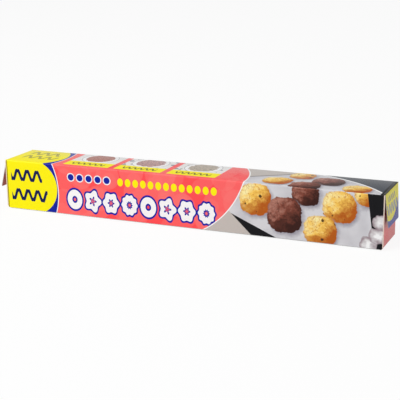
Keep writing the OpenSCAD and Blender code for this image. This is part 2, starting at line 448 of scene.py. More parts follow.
class Graph:
    """Short names for the shader nodes of one material. Lengths in it are millimetres."""

    def __init__(self, name: str) -> None:
        """Makes a material with an empty tree.

        Args:
            name: Name of the material.
        """
        self.material = bpy.data.materials.new(name)
        self.material.use_nodes = True
        self.tree = self.material.node_tree
        self.tree.nodes.clear()

    def node(self, kind: str, **settings: object) -> bpy.types.Node:
        """Adds a node.

        Args:
            kind: The node's type.
            settings: Values for its own properties.

        Returns:
            The node.
        """
        made = self.tree.nodes.new(kind)
        for key, value in settings.items():
            setattr(made, key, value)
        return made

    def feed(self, socket: Socket, value: object) -> None:
        """Links a socket, or sets its value where a plain one is given.

        Args:
            socket: The input.
            value: Another node's output, or a plain value.
        """
        if isinstance(value, bpy.types.NodeSocket):
            self.tree.links.new(value, socket)
        else:
            socket.default_value = value

    def calc(self, operation: str, *values: object, clamp: bool = False) -> Socket:
        """Adds a math node.

        Args:
            operation: Name of the operation.
            values: Its inputs, each an output or a number.
            clamp: Whether the result stays between 0 and 1.

        Returns:
            The result.
        """
        made = self.node("ShaderNodeMath", operation=operation, use_clamp=clamp)
        for socket, value in zip(made.inputs, values):
            self.feed(socket, value)
        return made.outputs[0]

    def vector(self, operation: str, *values: object) -> Socket:
        """Adds a vector math node.

        Args:
            operation: Name of the operation.
            values: Its inputs, each an output or a plain vector.

        Returns:
            The resulting vector, or the number where the operation gives one.
        """
        made = self.node("ShaderNodeVectorMath", operation=operation)
        for socket, value in zip(made.inputs, values):
            self.feed(socket, value)
        return made.outputs["Value" if operation in NUMBER_RESULTS else "Vector"]

    def mix(self, share: object, first: object, second: object, blend: str = "MIX") -> Socket:
        """Mixes two colours.

        Args:
            share: Share of the second colour.
            first: The first colour.
            second: The second colour.
            blend: How they mix.

        Returns:
            The mixed colour.
        """
        made = self.node("ShaderNodeMix", data_type="RGBA", blend_type=blend)
        self.feed(made.inputs["Factor"], share)
        self.feed(made.inputs[6], first)
        self.feed(made.inputs[7], second)
        return made.outputs[2]

    def blank(self) -> Socket:
        """Place on the flat blank, in millimetres."""
        where = self.node("ShaderNodeUVMap", uv_map=BLANK_MAP)
        return self.vector("MULTIPLY", where.outputs[0], (1 / MM, 1 / MM, 1 / MM))

    def noise(self, where: Socket, per_mm: float, detail: float = 2.0, rough: float = 0.5) -> Socket:
        """Smooth noise from 0 to 1.

        Args:
            where: The place, in millimetres.
            per_mm: Its scale, in features for each millimetre.
            detail: Number of finer layers.
            rough: Weight of the finer layers.

        Returns:
            The noise.
        """
        made = self.node("ShaderNodeTexNoise")
        self.feed(made.inputs["Vector"], where)
        made.inputs["Scale"].default_value = per_mm
        made.inputs["Detail"].default_value = detail
        made.inputs["Roughness"].default_value = rough
        return made.outputs["Fac"]

    def cells(self, where: Socket, per_mm: float, jitter: float = 1.0) -> tuple[Socket, Socket]:
        """Scattered points.

        Args:
            where: The place, in millimetres.
            per_mm: Points for each millimetre.
            jitter: How far they leave a square grid.

        Returns:
            The distance to the nearest point, in cells, and that point's random colour.
        """
        made = self.node("ShaderNodeTexVoronoi", voronoi_dimensions="2D")
        self.feed(made.inputs["Vector"], where)
        made.inputs["Scale"].default_value = per_mm
        made.inputs["Randomness"].default_value = jitter
        return made.outputs["Distance"], made.outputs["Color"]

    def inside(self, distance: Socket, soft: float = EDGE_SOFT) -> Socket:
        """Share of print inside an outline.

        Args:
            distance: Signed distance to the outline, below 0 inside.
            soft: Width over which the edge fades.

        Returns:
            1 inside and 0 outside.
        """
        return self.calc("MULTIPLY_ADD", distance, -1 / soft, 0.5, clamp=True)

    def outside(self, distance: Socket) -> Socket:
        """Share of print outside an outline: 0 inside and 1 outside."""
        return self.calc("MULTIPLY_ADD", distance, 1 / EDGE_SOFT, 0.5, clamp=True)

    def fill(
        self,
        under: object,
        distance: Socket,
        colour: object,
        soft: float = EDGE_SOFT,
        share: float = 1.0,
    ) -> Socket:
        """Lays a colour inside an outline.

        Args:
            under: The colour so far.
            distance: Signed distance to the outline, below 0 inside.
            colour: The colour that is laid on.
            soft: Width over which the edge fades.
            share: How much of the colour is laid on.

        Returns:
            The colour with the field.
        """
        cover = self.inside(distance, soft)
        if share < 1.0:
            cover = self.calc("MULTIPLY", cover, share)
        return self.mix(cover, under, colour)

    def grown(self, distance: Socket, by: float) -> Socket:
        """Signed distance to an outline that is moved outwards by a width."""
        return self.calc("SUBTRACT", distance, by)

    def band(self, value: Socket, low: float, high: float) -> Socket:
        """How far a value lies outside two limits, below 0 between them.

        Args:
            value: The value.
            low: The lower limit.
            high: The upper limit.

        Returns:
            The distance.
        """
        off = self.calc("ABSOLUTE", self.calc("SUBTRACT", value, (low + high) / 2))
        return self.calc("SUBTRACT", off, (high - low) / 2)

    def disc(self, where: Socket, centre: Flat, radius: float) -> Socket:
        """Signed distance to a circle."""
        return self.grown(self.vector("DISTANCE", where, (*centre, 0.0)), radius)

    def parts(self, where: Socket) -> tuple[Socket, Socket]:
        """The two parts of a place on the blank."""
        split = self.node("ShaderNodeSeparateXYZ")
        self.feed(split.inputs[0], where)
        return split.outputs[0], split.outputs[1]

    def panel(self, where: Socket, low: Flat, high: Flat, corner: float) -> Socket:
        """Signed distance to a rectangle with round corners.

        Args:
            where: The place, in millimetres.
            low: Its lower left corner.
            high: Its upper right corner.
            corner: Radius of its corners.

        Returns:
            The distance, below 0 inside.
        """
        centre = ((low[0] + high[0]) / 2, (low[1] + high[1]) / 2, 0.0)
        half = ((high[0] - low[0]) / 2 - corner, (high[1] - low[1]) / 2 - corner, 0.0)
        off = self.vector("ABSOLUTE", self.vector("SUBTRACT", where, centre))
        over = self.vector("MAXIMUM", self.vector("SUBTRACT", off, half), (0.0, 0.0, 0.0))
        return self.grown(self.vector("LENGTH", over), corner)

    def bump(self, height: Socket, depth: float, under: Socket | None = None) -> Socket:
        """Turns a height from 0 to 1 into a bumped normal.

        Args:
            height: The height.
            depth: What a height of 1 stands for, in millimetres.
            under: A normal to start from.

        Returns:
            The normal.
        """
        made = self.node("ShaderNodeBump")
        made.inputs["Distance"].default_value = depth * MM
        self.feed(made.inputs["Height"], height)
        if under is not None:
            self.feed(made.inputs["Normal"], under)
        return made.outputs[0]

    def surface(
        self, colour: object, roughness: object, normal: Socket | None, **sockets: float
    ) -> bpy.types.Material:
        """Ends the tree in one shader.

        Args:
            colour: Base colour.
            roughness: Roughness.
            normal: The bumped normal, or None.
            sockets: Other sockets of the shader, with underscores for spaces.

        Returns:
            The finished material.
        """
        shader = self.node("ShaderNodeBsdfPrincipled")
        self.feed(shader.inputs["Base Color"], colour)
        self.feed(shader.inputs["Roughness"], roughness)
        if normal is not None:
            self.feed(shader.inputs["Normal"], normal)
        for name, value in sockets.items():
            shader.inputs[name.replace("_", " ")].default_value = value
        out = self.node("ShaderNodeOutputMaterial")
        self.tree.links.new(shader.outputs[0], out.inputs["Surface"])
        return self.material


YELLOW = ink(253, 240, 8)
BLUE = ink(8, 30, 158)
NAVY = ink(10, 22, 78)
# Darker olive, used as painted shade near the front cover's left edge.
OLIVE_SHADE = ink(150, 132, 10)
CORAL = ink(255, 80, 84)
CORAL_PALE = ink(255, 120, 117)
WHITE = ink(248, 248, 248)
BLACK = ink(14, 14, 18)
SLATE = ink(66, 71, 80)
PARCHMENT = ink(216, 215, 219)
PARCHMENT_CREASE = ink(188, 186, 192)
PARCHMENT_SHADE = ink(160, 156, 166)
STONE = ink(196, 188, 182)
STONE_JOINT = ink(110, 100, 98)
CLOTH_SHADE = ink(158, 142, 148)
GOLD_TONES = ink(255, 242, 176), ink(250, 202, 92), ink(180, 90, 22)
COCOA_TONES = ink(186, 130, 114), ink(128, 68, 54), ink(56, 26, 20)
CHIP = ink(44, 24, 20)
HAIRLINE = 0.75


@dataclass(frozen=True)
class RoundEdge:
    """The round edge of a printed field that starts at the left end."""

    centre: Flat
    radius: float

    def edge(self, graph: Graph, where: Socket) -> Socket:
        """Signed distance to the field's edge.

        Args:
            graph: The material's nodes.
            where: The place, in millimetres.

        Returns:
            The distance, below 0 on the field's side.
        """
        circle = graph.disc(where, self.centre, self.radius)
        left = graph.calc("SUBTRACT", graph.parts(where)[0], self.centre[0])
        return graph.calc("MINIMUM", circle, left)


@dataclass(frozen=True)
class StraightEdge:
    """The sloping lower edge of a printed field."""

    slope: float
    height: float

    def edge(self, graph: Graph, where: Socket) -> Socket:
        """Height of the edge over a place on the print.

        Args:
            graph: The material's nodes.
            where: The place, in millimetres.

        Returns:
            The height, below 0 inside the field.
        """
        across, up = graph.parts(where)
        return graph.calc("SUBTRACT", graph.calc("MULTIPLY_ADD", across, self.slope, self.height), up)


@dataclass(frozen=True)
class BeadRow:
    """A row of equal beads."""

    start: float
    count: int
    pitch: float
    height: float
    radius: float
    stretch: float = 1.0
    margin: float = 0.4

    def edge(self, graph: Graph, where: Socket) -> Socket:
        """Signed distance to the nearest bead.

        Args:
            graph: The material's nodes.
            where: The place, in millimetres.

        Returns:
            The distance, below 0 inside a bead.
        """
        across, up = graph.parts(where)
        rise = graph.calc("DIVIDE", graph.calc("SUBTRACT", up, self.height), self.stretch)
        along = graph.calc("SUBTRACT", across, self.start)
        turn = graph.calc("FRACT", graph.calc("DIVIDE", along, self.pitch))
        local = graph.calc("MULTIPLY_ADD", turn, self.pitch, -self.pitch / 2)
        square = graph.calc("MULTIPLY", local, local)
        far = graph.calc("SQRT", graph.calc("MULTIPLY_ADD", rise, rise, square))
        span = graph.band(along, self.margin, self.count * self.pitch - self.margin)
        return graph.calc("MAXIMUM", graph.grown(far, self.radius), span)


@dataclass(frozen=True)
class WaveRow:
    """A drawn wave of even thickness."""

    start: float
    end: float
    height: float
    pitch: float = 9.0
    swing: float = 3.3
    stroke: float = 2.7

    def edge(self, graph: Graph, where: Socket) -> Socket:
        """Signed distance to the wave's stroke.

        Args:
            graph: The material's nodes.
            where: The place, in millimetres.

        Returns:
            The distance, below 0 inside the stroke.
        """
        across, up = graph.parts(where)
        bend = 2 * math.pi / self.pitch
        turn = graph.calc("MULTIPLY", across, bend)
        line = graph.calc("MULTIPLY_ADD", graph.calc("SINE", turn), self.swing, self.height)
        slope = graph.calc("MULTIPLY", graph.calc("COSINE", turn), self.swing * bend)
        steep = graph.calc("SQRT", graph.calc("MULTIPLY_ADD", slope, slope, 1.0))
        off = graph.calc("DIVIDE", graph.calc("ABSOLUTE", graph.calc("SUBTRACT", up, line)), steep)
        span = graph.band(across, self.start, self.end)
        return graph.calc("MAXIMUM", graph.grown(off, self.stroke / 2), span)


@dataclass(frozen=True)
class CrustNoise:
    """The noises that all biscuits of one picture share."""

    crumb: Socket
    lump: Socket
    crack: Socket
    chip: Socket

    @classmethod
    def make(cls, graph: Graph, where: Socket) -> "CrustNoise":
        """Makes the noises.

        Args:
            graph: The material's nodes.
            where: The place, in millimetres.

        Returns:
            The crumb and the lumps from 0 to 1, the cracks and the chips as shares.
        """
        crumb = graph.noise(where, per_mm=0.6, detail=4.0, rough=0.68)
        lump = graph.noise(where, per_mm=0.17, detail=2.0, rough=0.5)
        folded = graph.noise(where, per_mm=0.22, detail=2.0, rough=0.55)
        ridge = graph.calc("ABSOLUTE", graph.calc("SUBTRACT", folded, 0.5))
        crack = graph.inside(graph.grown(ridge, 0.014), soft=0.012)
        near, pick = graph.cells(where, per_mm=0.105)
        size = graph.calc("MULTIPLY_ADD", graph.parts(pick)[0], 0.3, -0.16)
        ragged = graph.calc("MULTIPLY_ADD", crumb, 0.24, graph.calc("ADD", near, -0.12))
        chip = graph.inside(graph.calc("SUBTRACT", ragged, size), soft=0.03)
        return cls(crumb, lump, crack, graph.calc("MULTIPLY", chip, 0.9))


@dataclass(frozen=True)
class Biscuit:
    """A thick baked biscuit in the printed picture, lit from the upper left."""

    centre: Flat
    radius: float
    dark: bool = False
    tall: float = 0.92
    roundness: float = 0.78
    shadow: Flat = (1.6, -1.8)
    shadow_blur: float = 10 / 3
    browning: float = 0.55

    def body(self, graph: Graph, where: Socket, wobble: Socket, shift: Flat) -> Socket:
        """Signed distance to the biscuit's outline.

        Args:
            graph: The material's nodes.
            where: The place, in millimetres.
            wobble: Unevenness of the outline.
            shift: How far the outline is moved.

        Returns:
            The distance, below 0 inside.
        """
        x, y = self.centre[0] + shift[0], self.centre[1] + shift[1]
        wide, high = self.radius, self.radius * self.tall
        corner = self.radius * self.roundness
        box = graph.panel(where, (x - wide, y - high), (x + wide, y + high), corner)
        return graph.calc("ADD", box, wobble)

    def crust(self, graph: Graph, where: Socket, noises: CrustNoise, body: Socket) -> Socket:
        """Colours the crust: lit at the upper left, and browner at the wall and the rim.

        Args:
            graph: The material's nodes.
            where: The place, in millimetres.
            noises: The noises of the crust.
            body: Signed distance to the biscuit's outline.

        Returns:
            The colour of the crust.
        """
        light, base, brown = COCOA_TONES if self.dark else GOLD_TONES
        across, up = graph.parts(graph.vector("SUBTRACT", where, (*self.centre, 0.0)))
        crumbs = graph.calc("MULTIPLY_ADD", noises.crumb, 1.1, -0.55)
        lumps = graph.calc("MULTIPLY_ADD", noises.lump, 1.6, -0.8)
        grain = graph.calc("ADD", crumbs, lumps)
        high = graph.calc("DIVIDE", up, self.radius * 1.4)
        lit = graph.calc("MULTIPLY_ADD", across, -0.75 / self.radius, high)
        shade = graph.calc("SUBTRACT", graph.calc("MULTIPLY_ADD", lit, -1.2, 0.2), grain, clamp=True)
        glow = graph.calc("SUBTRACT", graph.calc("MULTIPLY_ADD", grain, 1.5, lit), 0.12, clamp=True)
        crust = graph.mix(glow, graph.mix(shade, base, brown), light)
        above = graph.calc("ADD", up, self.radius * -0.1)
        wall = graph.calc("MULTIPLY_ADD", noises.lump, self.radius * 0.9, above)
        crust = graph.fill(crust, wall, brown, soft=1.4, share=self.browning)
        crust = graph.mix(graph.calc("MULTIPLY", noises.crack, 0.6), crust, brown)
        if not self.dark:
            crust = graph.mix(noises.chip, crust, CHIP)
        rim = graph.calc("MULTIPLY_ADD", body, 0.45, 0.7, clamp=True)
        return graph.mix(graph.calc("MULTIPLY", rim, self.browning), crust, brown)

    def paint(self, graph: Graph, where: Socket, noises: CrustNoise, under: Socket) -> Socket:
        """Paints the biscuit and its soft shadow.

        Args:
            graph: The material's nodes.
            where: The place, in millimetres.
            noises: The noises of the crust.
            under: The colour of the picture so far.

        Returns:
            The colour with the biscuit.
        """
        lumps = graph.calc("MULTIPLY_ADD", noises.lump, 3.4, -2.9)
        wobble = graph.calc("MULTIPLY_ADD", noises.crumb, 2.4, lumps)
        cast = self.body(graph, where, wobble, self.shadow)
        under = graph.fill(under, cast, PARCHMENT_SHADE, soft=self.shadow_blur)
        body = self.body(graph, where, wobble, (0.0, 0.0))
        return graph.fill(under, body, self.crust(graph, where, noises, body), soft=0.3)


@dataclass(frozen=True)
class CutterShape:
    """A white biscuit-cutter outline with blue rims: a ring with waves round it."""

    centre: Flat
    radius: float
    waves: int
    wave_height: float
    band: float = 4.2
    rim: float = 1.35
    tall: float = 1.2

    def paint(self, graph: Graph, where: Socket, under: Socket) -> Socket:
        """Paints the shape.

        Args:
            graph: The material's nodes.
            where: The place, in millimetres.
            under: The colour of the print so far.

        Returns:
            The colour with the shape.
        """
        moved = graph.vector("SUBTRACT", where, (*self.centre, 0.0))
        off = graph.vector("DIVIDE", moved, (1.0, self.tall, 1.0))
        across, up = graph.parts(off)
        angle = graph.calc("ARCTAN2", up, across)
        turn = graph.calc("MULTIPLY_ADD", angle, float(self.waves), math.pi / 2)
        swing = self.radius * self.wave_height
        reach = graph.calc("MULTIPLY_ADD", graph.calc("SINE", turn), swing, self.radius)
        past = graph.calc("SUBTRACT", graph.vector("LENGTH", off), reach)
        line = graph.band(past, -self.band, 0.0)
        under = graph.fill(under, graph.grown(line, self.rim), BLUE)
        return graph.fill(under, line, WHITE)


@dataclass(frozen=True)
class FoldedCloth:
    """The white cloth of the picture: soft rolls that lie over one another."""

    rolls: tuple[tuple[Flat, Flat], ...]
    corner: float = 5.5
    sway: float = 3.0

    def paint(self, graph: Graph, where: Socket, under: Socket) -> Socket:
        """Paints the cloth.

        Args:
            graph: The material's nodes.
            where: The place, in millimetres.
            under: The colour of the picture so far.

        Returns:
            The colour with the cloth.
        """
        folds = graph.noise(where, per_mm=0.28, detail=1.0)
        depth = graph.calc("MULTIPLY_ADD", folds, 0.9, 0.3)
        for low, high in self.rolls:
            roll = graph.panel(where, low, high, self.corner)
            edge = graph.calc("MULTIPLY_ADD", folds, self.sway, roll)
            fold = graph.calc("MULTIPLY_ADD", edge, 0.2, depth, clamp=True)
            colour = graph.mix(fold, WHITE, CLOTH_SHADE)
            under = graph.fill(under, graph.grown(edge, self.sway / 2), colour, soft=0.5)
        return under


@dataclass(frozen=True)
class CoatedBoard:
    """The gloss of the printed board: a thin varnish over fibres."""

    roughness: float = 0.24
    refraction: float = 1.22
    fibre_depth: float = 0.004
    sway_depth: float = 0.22
    mottling: float = 0.04

    def coat(
        self, graph: Graph, where: Socket, colour: Socket, bow: Socket | None = None
    ) -> bpy.types.Material:
        """Ends a printed material.

        Args:
            graph: The material's nodes.
            where: The place on the blank, in millimetres.
            colour: The print.
            bow: How far the panel bows outwards, in millimetres.

        Returns:
            The finished material.
        """
        fibre = graph.noise(where, per_mm=2.2, detail=3.0, rough=0.6)
        sway = graph.noise(where, per_mm=0.035, detail=1.0)
        bent = None if bow is None else graph.bump(bow, 1.0)
        normal = graph.bump(fibre, self.fibre_depth, graph.bump(sway, self.sway_depth, bent))
        blotch = graph.noise(where, per_mm=0.6, detail=3.0)
        mottle = graph.calc("MULTIPLY_ADD", blotch, self.mottling, 1 - self.mottling / 2)
        tint = graph.mix(mottle, ink(0, 0, 0), ink(255, 255, 255))
        tinted = graph.mix(1.0, colour, tint, "MULTIPLY")
        rough = graph.calc("MULTIPLY_ADD", fibre, 0.08, self.roughness)
        return graph.surface(tinted, rough, normal, IOR=self.refraction)


@dataclass(frozen=True)
class LightRounds:
    """One layer of the pale rounds on the coral ground."""

    per_mm: float
    radius: float
    share: float

    def paint(self, graph: Graph, where: Socket, under: object) -> Socket:
        """Paints the layer.

        Args:
            graph: The material's nodes.
            where: The place on the blank, in millimetres.
            under: The colour of the print so far.

        Returns:
            The colour with the rounds.
        """
        shifted = graph.vector("ADD", where, (self.radius * 400, self.share * 250, 0.0))
        near, _ = graph.cells(shifted, self.per_mm, jitter=0.9)
        spot = graph.grown(near, self.radius)
        return graph.fill(under, spot, CORAL_PALE, soft=0.02, share=self.share)


CORAL_ROUNDS = (
    LightRounds(0.045, 0.46, 0.5),
    LightRounds(0.07, 0.42, 0.35),
    LightRounds(0.034, 0.42, 0.45),
)


def coral_field(graph: Graph, where: Socket) -> Socket:
    """The coral ground with its tone-on-tone rounds of light.

    Args:
        graph: The material's nodes.
        where: The place on the blank, in millimetres.

    Returns:
        The colour of the ground.
    """
    colour: object = CORAL
    for layer in CORAL_ROUNDS:
        colour = layer.paint(graph, where, colour)
    return colour


def sun_field(graph: Graph, where: Socket, yellow: RoundEdge, blue: RoundEdge, under: Socket) -> Socket:
    """The yellow end field with its round edge, the blue crescent and the white hairline.

    Args:
        graph: The material's nodes.
        where: The place on the panel, in millimetres from its left end and lower edge.
        yellow: Edge of the yellow field.
        blue: Edge of the blue crescent.
        under: The colour of the print so far.

    Returns:
        The colour with the end field.
    """
    blue_edge = blue.edge(graph, where)
    under = graph.fill(under, graph.grown(blue_edge, HAIRLINE), WHITE)
    under = graph.fill(under, blue_edge, BLUE)
    return graph.fill(under, yellow.edge(graph, where), YELLOW)


def baked_picture(graph: Graph, where: Socket, biscuits: Sequence[Biscuit], ground: Socket) -> Socket:
    """Lays biscuits on a printed ground.

    Args:
        graph: The material's nodes.
        where: The place, in millimetres.
        biscuits: The biscuits, from the back to the front.
        ground: The ground's colour.

    Returns:
        The picture's colour.
    """
    noises = CrustNoise.make(graph, where)
    for biscuit in biscuits:
        ground = biscuit.paint(graph, where, noises, ground)
    return ground


def parchment(graph: Graph, where: Socket) -> Socket:
    """The creased baking paper of the picture.

    Args:
        graph: The material's nodes.
        where: The place, in millimetres.

    Returns:
        Its colour.
    """
    crease = graph.noise(where, per_mm=0.06, detail=2.0, rough=0.45)
    share = graph.calc("MULTIPLY_ADD", crease, 2.2, -0.85, clamp=True)
    return graph.mix(share, PARCHMENT, PARCHMENT_CREASE)


@dataclass(frozen=True)
class FrontPrint:
    """The print of the front cover, measured from its lower left corner."""

    board: CoatedBoard = CoatedBoard()
    yellow: RoundEdge = RoundEdge((25.8, 20.25), 21.8)
    blue: RoundEdge = RoundEdge((-6.7, 17.5), 55.0)
    picture_edge: RoundEdge = RoundEdge((138.95, 62.2), 70.0)
    picture_line: float = 0.8
    sheet: StraightEdge = StraightEdge(-0.425, 99.2)
    tin: StraightEdge = StraightEdge(-0.95, 202.0)
    dark_start: float = 303.5
    dark_lean: float = 0.14
    biscuits: tuple[Biscuit, ...] = (
        Biscuit((253.2, 36.4), 10.2, dark=True),
        Biscuit((297.0, 38.5), 8.4),
        Biscuit((214.8, 28.4), 12.0, tall=1.0),
        Biscuit((278.0, 28.4), 12.5),
        Biscuit((237.4, 18.6), 13.0, dark=True, tall=1.02),
        Biscuit((264.2, 9.6), 12.2),
    )
    cloth: FoldedCloth = FoldedCloth((
        ((293.0, -4.0), (305.0, 9.5)),
        ((299.0, 5.0), (314.0, 16.0)),
        ((301.5, 14.5), (316.0, 25.5)),
    ))
    shape_count: int = 8
    shape_kinds: tuple[tuple[int, float], ...] = ((0, 0.0), (5, 0.16), (6, 0.1), (10, 0.06))
    shape_start: float = 63.5
    shape_pitch: float = 16.1
    shape_middle: float = 13.5
    shape_radius: float = 6.6
    pearls: BeadRow = BeadRow(56.5, 5, 8.0, 31.2, 2.65)
    pearl_rim: float = 0.8
    beads: BeadRow = BeadRow(101.0, 13, 6.5, 31.0, 2.4, 1.3)
    waves: tuple[WaveRow, ...] = (WaveRow(5.0, 34.0, 29.0), WaveRow(5.0, 38.5, 13.0))
    # Band of painted shade near the left end: a darker olive strip stands in for the shade where the
    # cover's edge turns from the light.
    left_edge_shade: Flat = (0.9, 1.8)
    printed: Flat = (0.7, 309.3)

    @property
    def shapes(self) -> list[CutterShape]:
        """The row of biscuit-cutter outlines, of four kinds in turn."""
        row = []
        for n in range(self.shape_count):
            waves, height = self.shape_kinds[n % len(self.shape_kinds)]
            centre = (self.shape_start + n * self.shape_pitch, self.shape_middle)
            row.append(CutterShape(centre, self.shape_radius, waves, height))
        return row

    def picture(self, graph: Graph, where: Socket) -> Socket:
        """The picture of biscuits on parchment, at the right of the front.

        Args:
            graph: The material's nodes.
            where: The place on the blank, in millimetres.

        Returns:
            The picture's colour.
        """
        across, up = graph.parts(where)
        ground = graph.fill(BLACK, self.sheet.edge(graph, where), parchment(graph, where))
        ground = graph.mix(graph.outside(self.tin.edge(graph, where)), ground, STONE)
        ground = baked_picture(graph, where, self.biscuits, ground)
        leaning = graph.calc("MULTIPLY_ADD", up, self.dark_lean, across)
        ground = graph.mix(graph.outside(graph.grown(leaning, self.dark_start)), ground, BLACK)
        return self.cloth.paint(graph, where, ground)

    def make(self) -> bpy.types.Material:
        """Makes the material of the front print."""
        graph = Graph("front_print")
        where = graph.blank()
        across, _ = graph.parts(where)
        colour = coral_field(graph, where)
        for shape in self.shapes:
            colour = shape.paint(graph, where, colour)
        pearl = self.pearls.edge(graph, where)
        colour = graph.fill(colour, graph.grown(pearl, self.pearl_rim), WHITE)
        colour = graph.fill(colour, pearl, BLUE)
        colour = graph.fill(colour, self.beads.edge(graph, where), YELLOW)
        edge = self.picture_edge.edge(graph, where)
        colour = graph.mix(graph.outside(edge), colour, WHITE)
        beyond = graph.outside(graph.grown(edge, self.picture_line))
        colour = graph.mix(beyond, colour, self.picture(graph, where))
        colour = sun_field(graph, where, self.yellow, self.blue, colour)
        for row in self.waves:
            colour = graph.fill(colour, row.edge(graph, where), NAVY)
        # Painted shade: a darker olive band near the left end, where the cover's edge turns from the
        # light.
        colour = graph.fill(colour, graph.band(across, *self.left_edge_shade), OLIVE_SHADE, soft=0.3)
        worn = graph.outside(graph.band(across, *self.printed))
        colour = graph.mix(worn, colour, ink(228, 208, 196))
        return self.board.coat(graph, where, colour)


@dataclass(frozen=True)
class DishPanel:
    """A pale panel of the lid, with a heaped plate over a yellow strip."""

    left: float
    food_shade: Ink
    food_light: Ink
    crumbs: Ink
    length: float = 40.0
    margin: float = 3.5
    strip: float = 13.0
    corner: float = 0.6
    past_back: float = 9.0
    plate_place: Flat = (20.0, 29.5)
    plate_radius: float = 14.5
    mark_height: float = 6.5
    mark_share: float = 0.85

    def plate(self, graph: Graph, where: Socket, face: Socket, lump: Socket) -> Socket:
        """Paints the plate and the food on it.

        Args:
            graph: The material's nodes.
            where: The place, in millimetres.
            face: The colour of the panel so far.
            lump: The unevenness of the food.

        Returns:
            The colour with the plate.
        """
        centre = (self.left + self.plate_place[0], self.plate_place[1])
        plate = graph.disc(where, centre, self.plate_radius)
        face = graph.fill(face, graph.grown(plate, 0.6), ink(188, 187, 190))
        face = graph.fill(face, plate, WHITE)
        grain = graph.noise(where, per_mm=0.55, detail=3.0, rough=0.7)
        speck = graph.calc("MULTIPLY_ADD", grain, 3.0, -1.0, clamp=True)
        food = graph.mix(speck, self.food_shade, self.food_light)
        return graph.fill(face, graph.calc("MULTIPLY_ADD", lump, 6.0, plate), food, soft=0.4)

    def paint(self, graph: Graph, where: Socket, depth: float, under: Socket) -> Socket:
        """Paints the panel.

        Args:
            graph: The material's nodes.
            where: The place on the lid, in millimetres.
            depth: Depth of the lid, which the panel runs past.
            under: The colour of the print so far.

        Returns:
            The colour with the panel.
        """
        right = self.left + self.length
        low = (self.left, self.margin)
        lump = graph.noise(where, per_mm=0.3, detail=3.0, rough=0.6)
        face = graph.mix(lump, ink(252, 249, 246), ink(222, 221, 220))
        near, pick = graph.cells(where, per_mm=0.16, jitter=0.8)
        size = graph.calc("MULTIPLY_ADD", graph.parts(pick)[0], 0.34, 0.02)
        face = graph.fill(face, graph.calc("SUBTRACT", near, size), self.crumbs, soft=0.04, share=0.8)
        face = self.plate(graph, where, face, lump)
        whole = graph.panel(where, low, (right, depth + self.past_back), self.corner)
        under = graph.fill(under, whole, face)
        band = graph.panel(where, low, (right, self.margin + self.strip), self.corner)
        under = graph.fill(under, band, YELLOW)
        height = self.margin + self.mark_height
        marks = WaveRow(self.left + 5.0, right - 6.0, height, pitch=5.0, swing=2.1, stroke=1.5)
        return graph.fill(under, marks.edge(graph, where), ink(52, 54, 46), share=self.mark_share)


@dataclass(frozen=True)
class TopPrint:
    """The print of the lid's top, whose height starts at the front fold."""

    start: float
    depth: float
    board: CoatedBoard = CoatedBoard()
    yellow: RoundEdge = RoundEdge((14.9, 20.5), 29.0)
    blue: RoundEdge = RoundEdge((-34.6, 20.5), 80.0)
    picture_edge: RoundEdge = RoundEdge((135.4, 0.0), 70.0)
    picture_line: float = 1.0
    sheet_edge: RoundEdge = RoundEdge((223.7, -64.6), 108.8)
    sheet_line: float = 1.4
    table: StraightEdge = StraightEdge(0.62, -110.0)
    table_joint: float = 0.9
    biscuits: tuple[Biscuit, ...] = (
        Biscuit((241.0, 31.5), 9.5),
        Biscuit((263.5, 21.5), 12.0, dark=True),
        Biscuit((227.4, 12.5), 10.8),
        Biscuit((288.0, 8.5), 10.5),
        Biscuit((250.4, 5.5), 11.4, dark=True),
    )
    dishes: tuple[DishPanel, ...] = (
        DishPanel(51.5, ink(146, 78, 68), ink(200, 142, 128), ink(226, 222, 218)),
        DishPanel(96.5, ink(120, 96, 112), ink(226, 176, 164), ink(92, 98, 116)),
        DishPanel(141.5, ink(124, 128, 112), ink(222, 200, 184), ink(104, 118, 104)),
    )
    waves: tuple[WaveRow, ...] = (WaveRow(8.0, 38.0, 16.5), WaveRow(8.0, 35.0, 29.0))
    wave_share: float = 0.62
    dark_start: float = 306.8
    slope_front: float = 0.27
    slope_back: float = -0.08

    def picture(self, graph: Graph, where: Socket) -> Socket:
        """The picture of biscuits on parchment, at the right of the top.

        Args:
            graph: The material's nodes.
            where: The place on the panel, in millimetres.

        Returns:
            The picture's colour.
        """
        table = self.table.edge(graph, where)
        ground = graph.fill(parchment(graph, where), table, STONE, soft=1.2)
        joint_line = graph.band(table, -self.table_joint, self.table_joint)
        ground = graph.fill(ground, joint_line, STONE_JOINT, soft=0.6)
        ground = baked_picture(graph, where, self.biscuits, ground)
        edge = self.sheet_edge.edge(graph, where)
        ground = graph.mix(graph.outside(graph.grown(edge, -self.sheet_line)), ground, WHITE)
        return graph.mix(graph.outside(edge), ground, SLATE)

    def bow(self, graph: Graph, where: Socket) -> Socket:
        """How far the lid bows outwards, with the given slopes at its front and its back.

        Args:
            graph: The material's nodes.
            where: The place on the panel, in millimetres.

        Returns:
            The height, in millimetres.
        """
        _, height = graph.parts(where)
        change = (self.slope_back - self.slope_front) / (2 * self.depth)
        slope = graph.calc("MULTIPLY_ADD", height, change, self.slope_front)
        return graph.calc("MULTIPLY", slope, height)

    def make(self) -> bpy.types.Material:
        """Makes the material of the top print."""
        graph = Graph("top_print")
        blank = graph.blank()
        where = graph.vector("SUBTRACT", blank, (0.0, self.start, 0.0))
        across, _ = graph.parts(where)
        colour = coral_field(graph, blank)
        for dish in self.dishes:
            colour = dish.paint(graph, where, self.depth, colour)
        edge = self.picture_edge.edge(graph, where)
        colour = graph.mix(graph.outside(edge), colour, WHITE)
        beyond = graph.outside(graph.grown(edge, self.picture_line))
        colour = graph.mix(beyond, colour, self.picture(graph, where))
        colour = graph.mix(graph.outside(graph.grown(across, self.dark_start)), colour, BLACK)
        colour = sun_field(graph, where, self.yellow, self.blue, colour)
        for row in self.waves:
            colour = graph.fill(colour, row.edge(graph, where), ink(84, 88, 72), share=self.wave_share)
        return self.board.coat(graph, blank, colour, self.bow(graph, where))


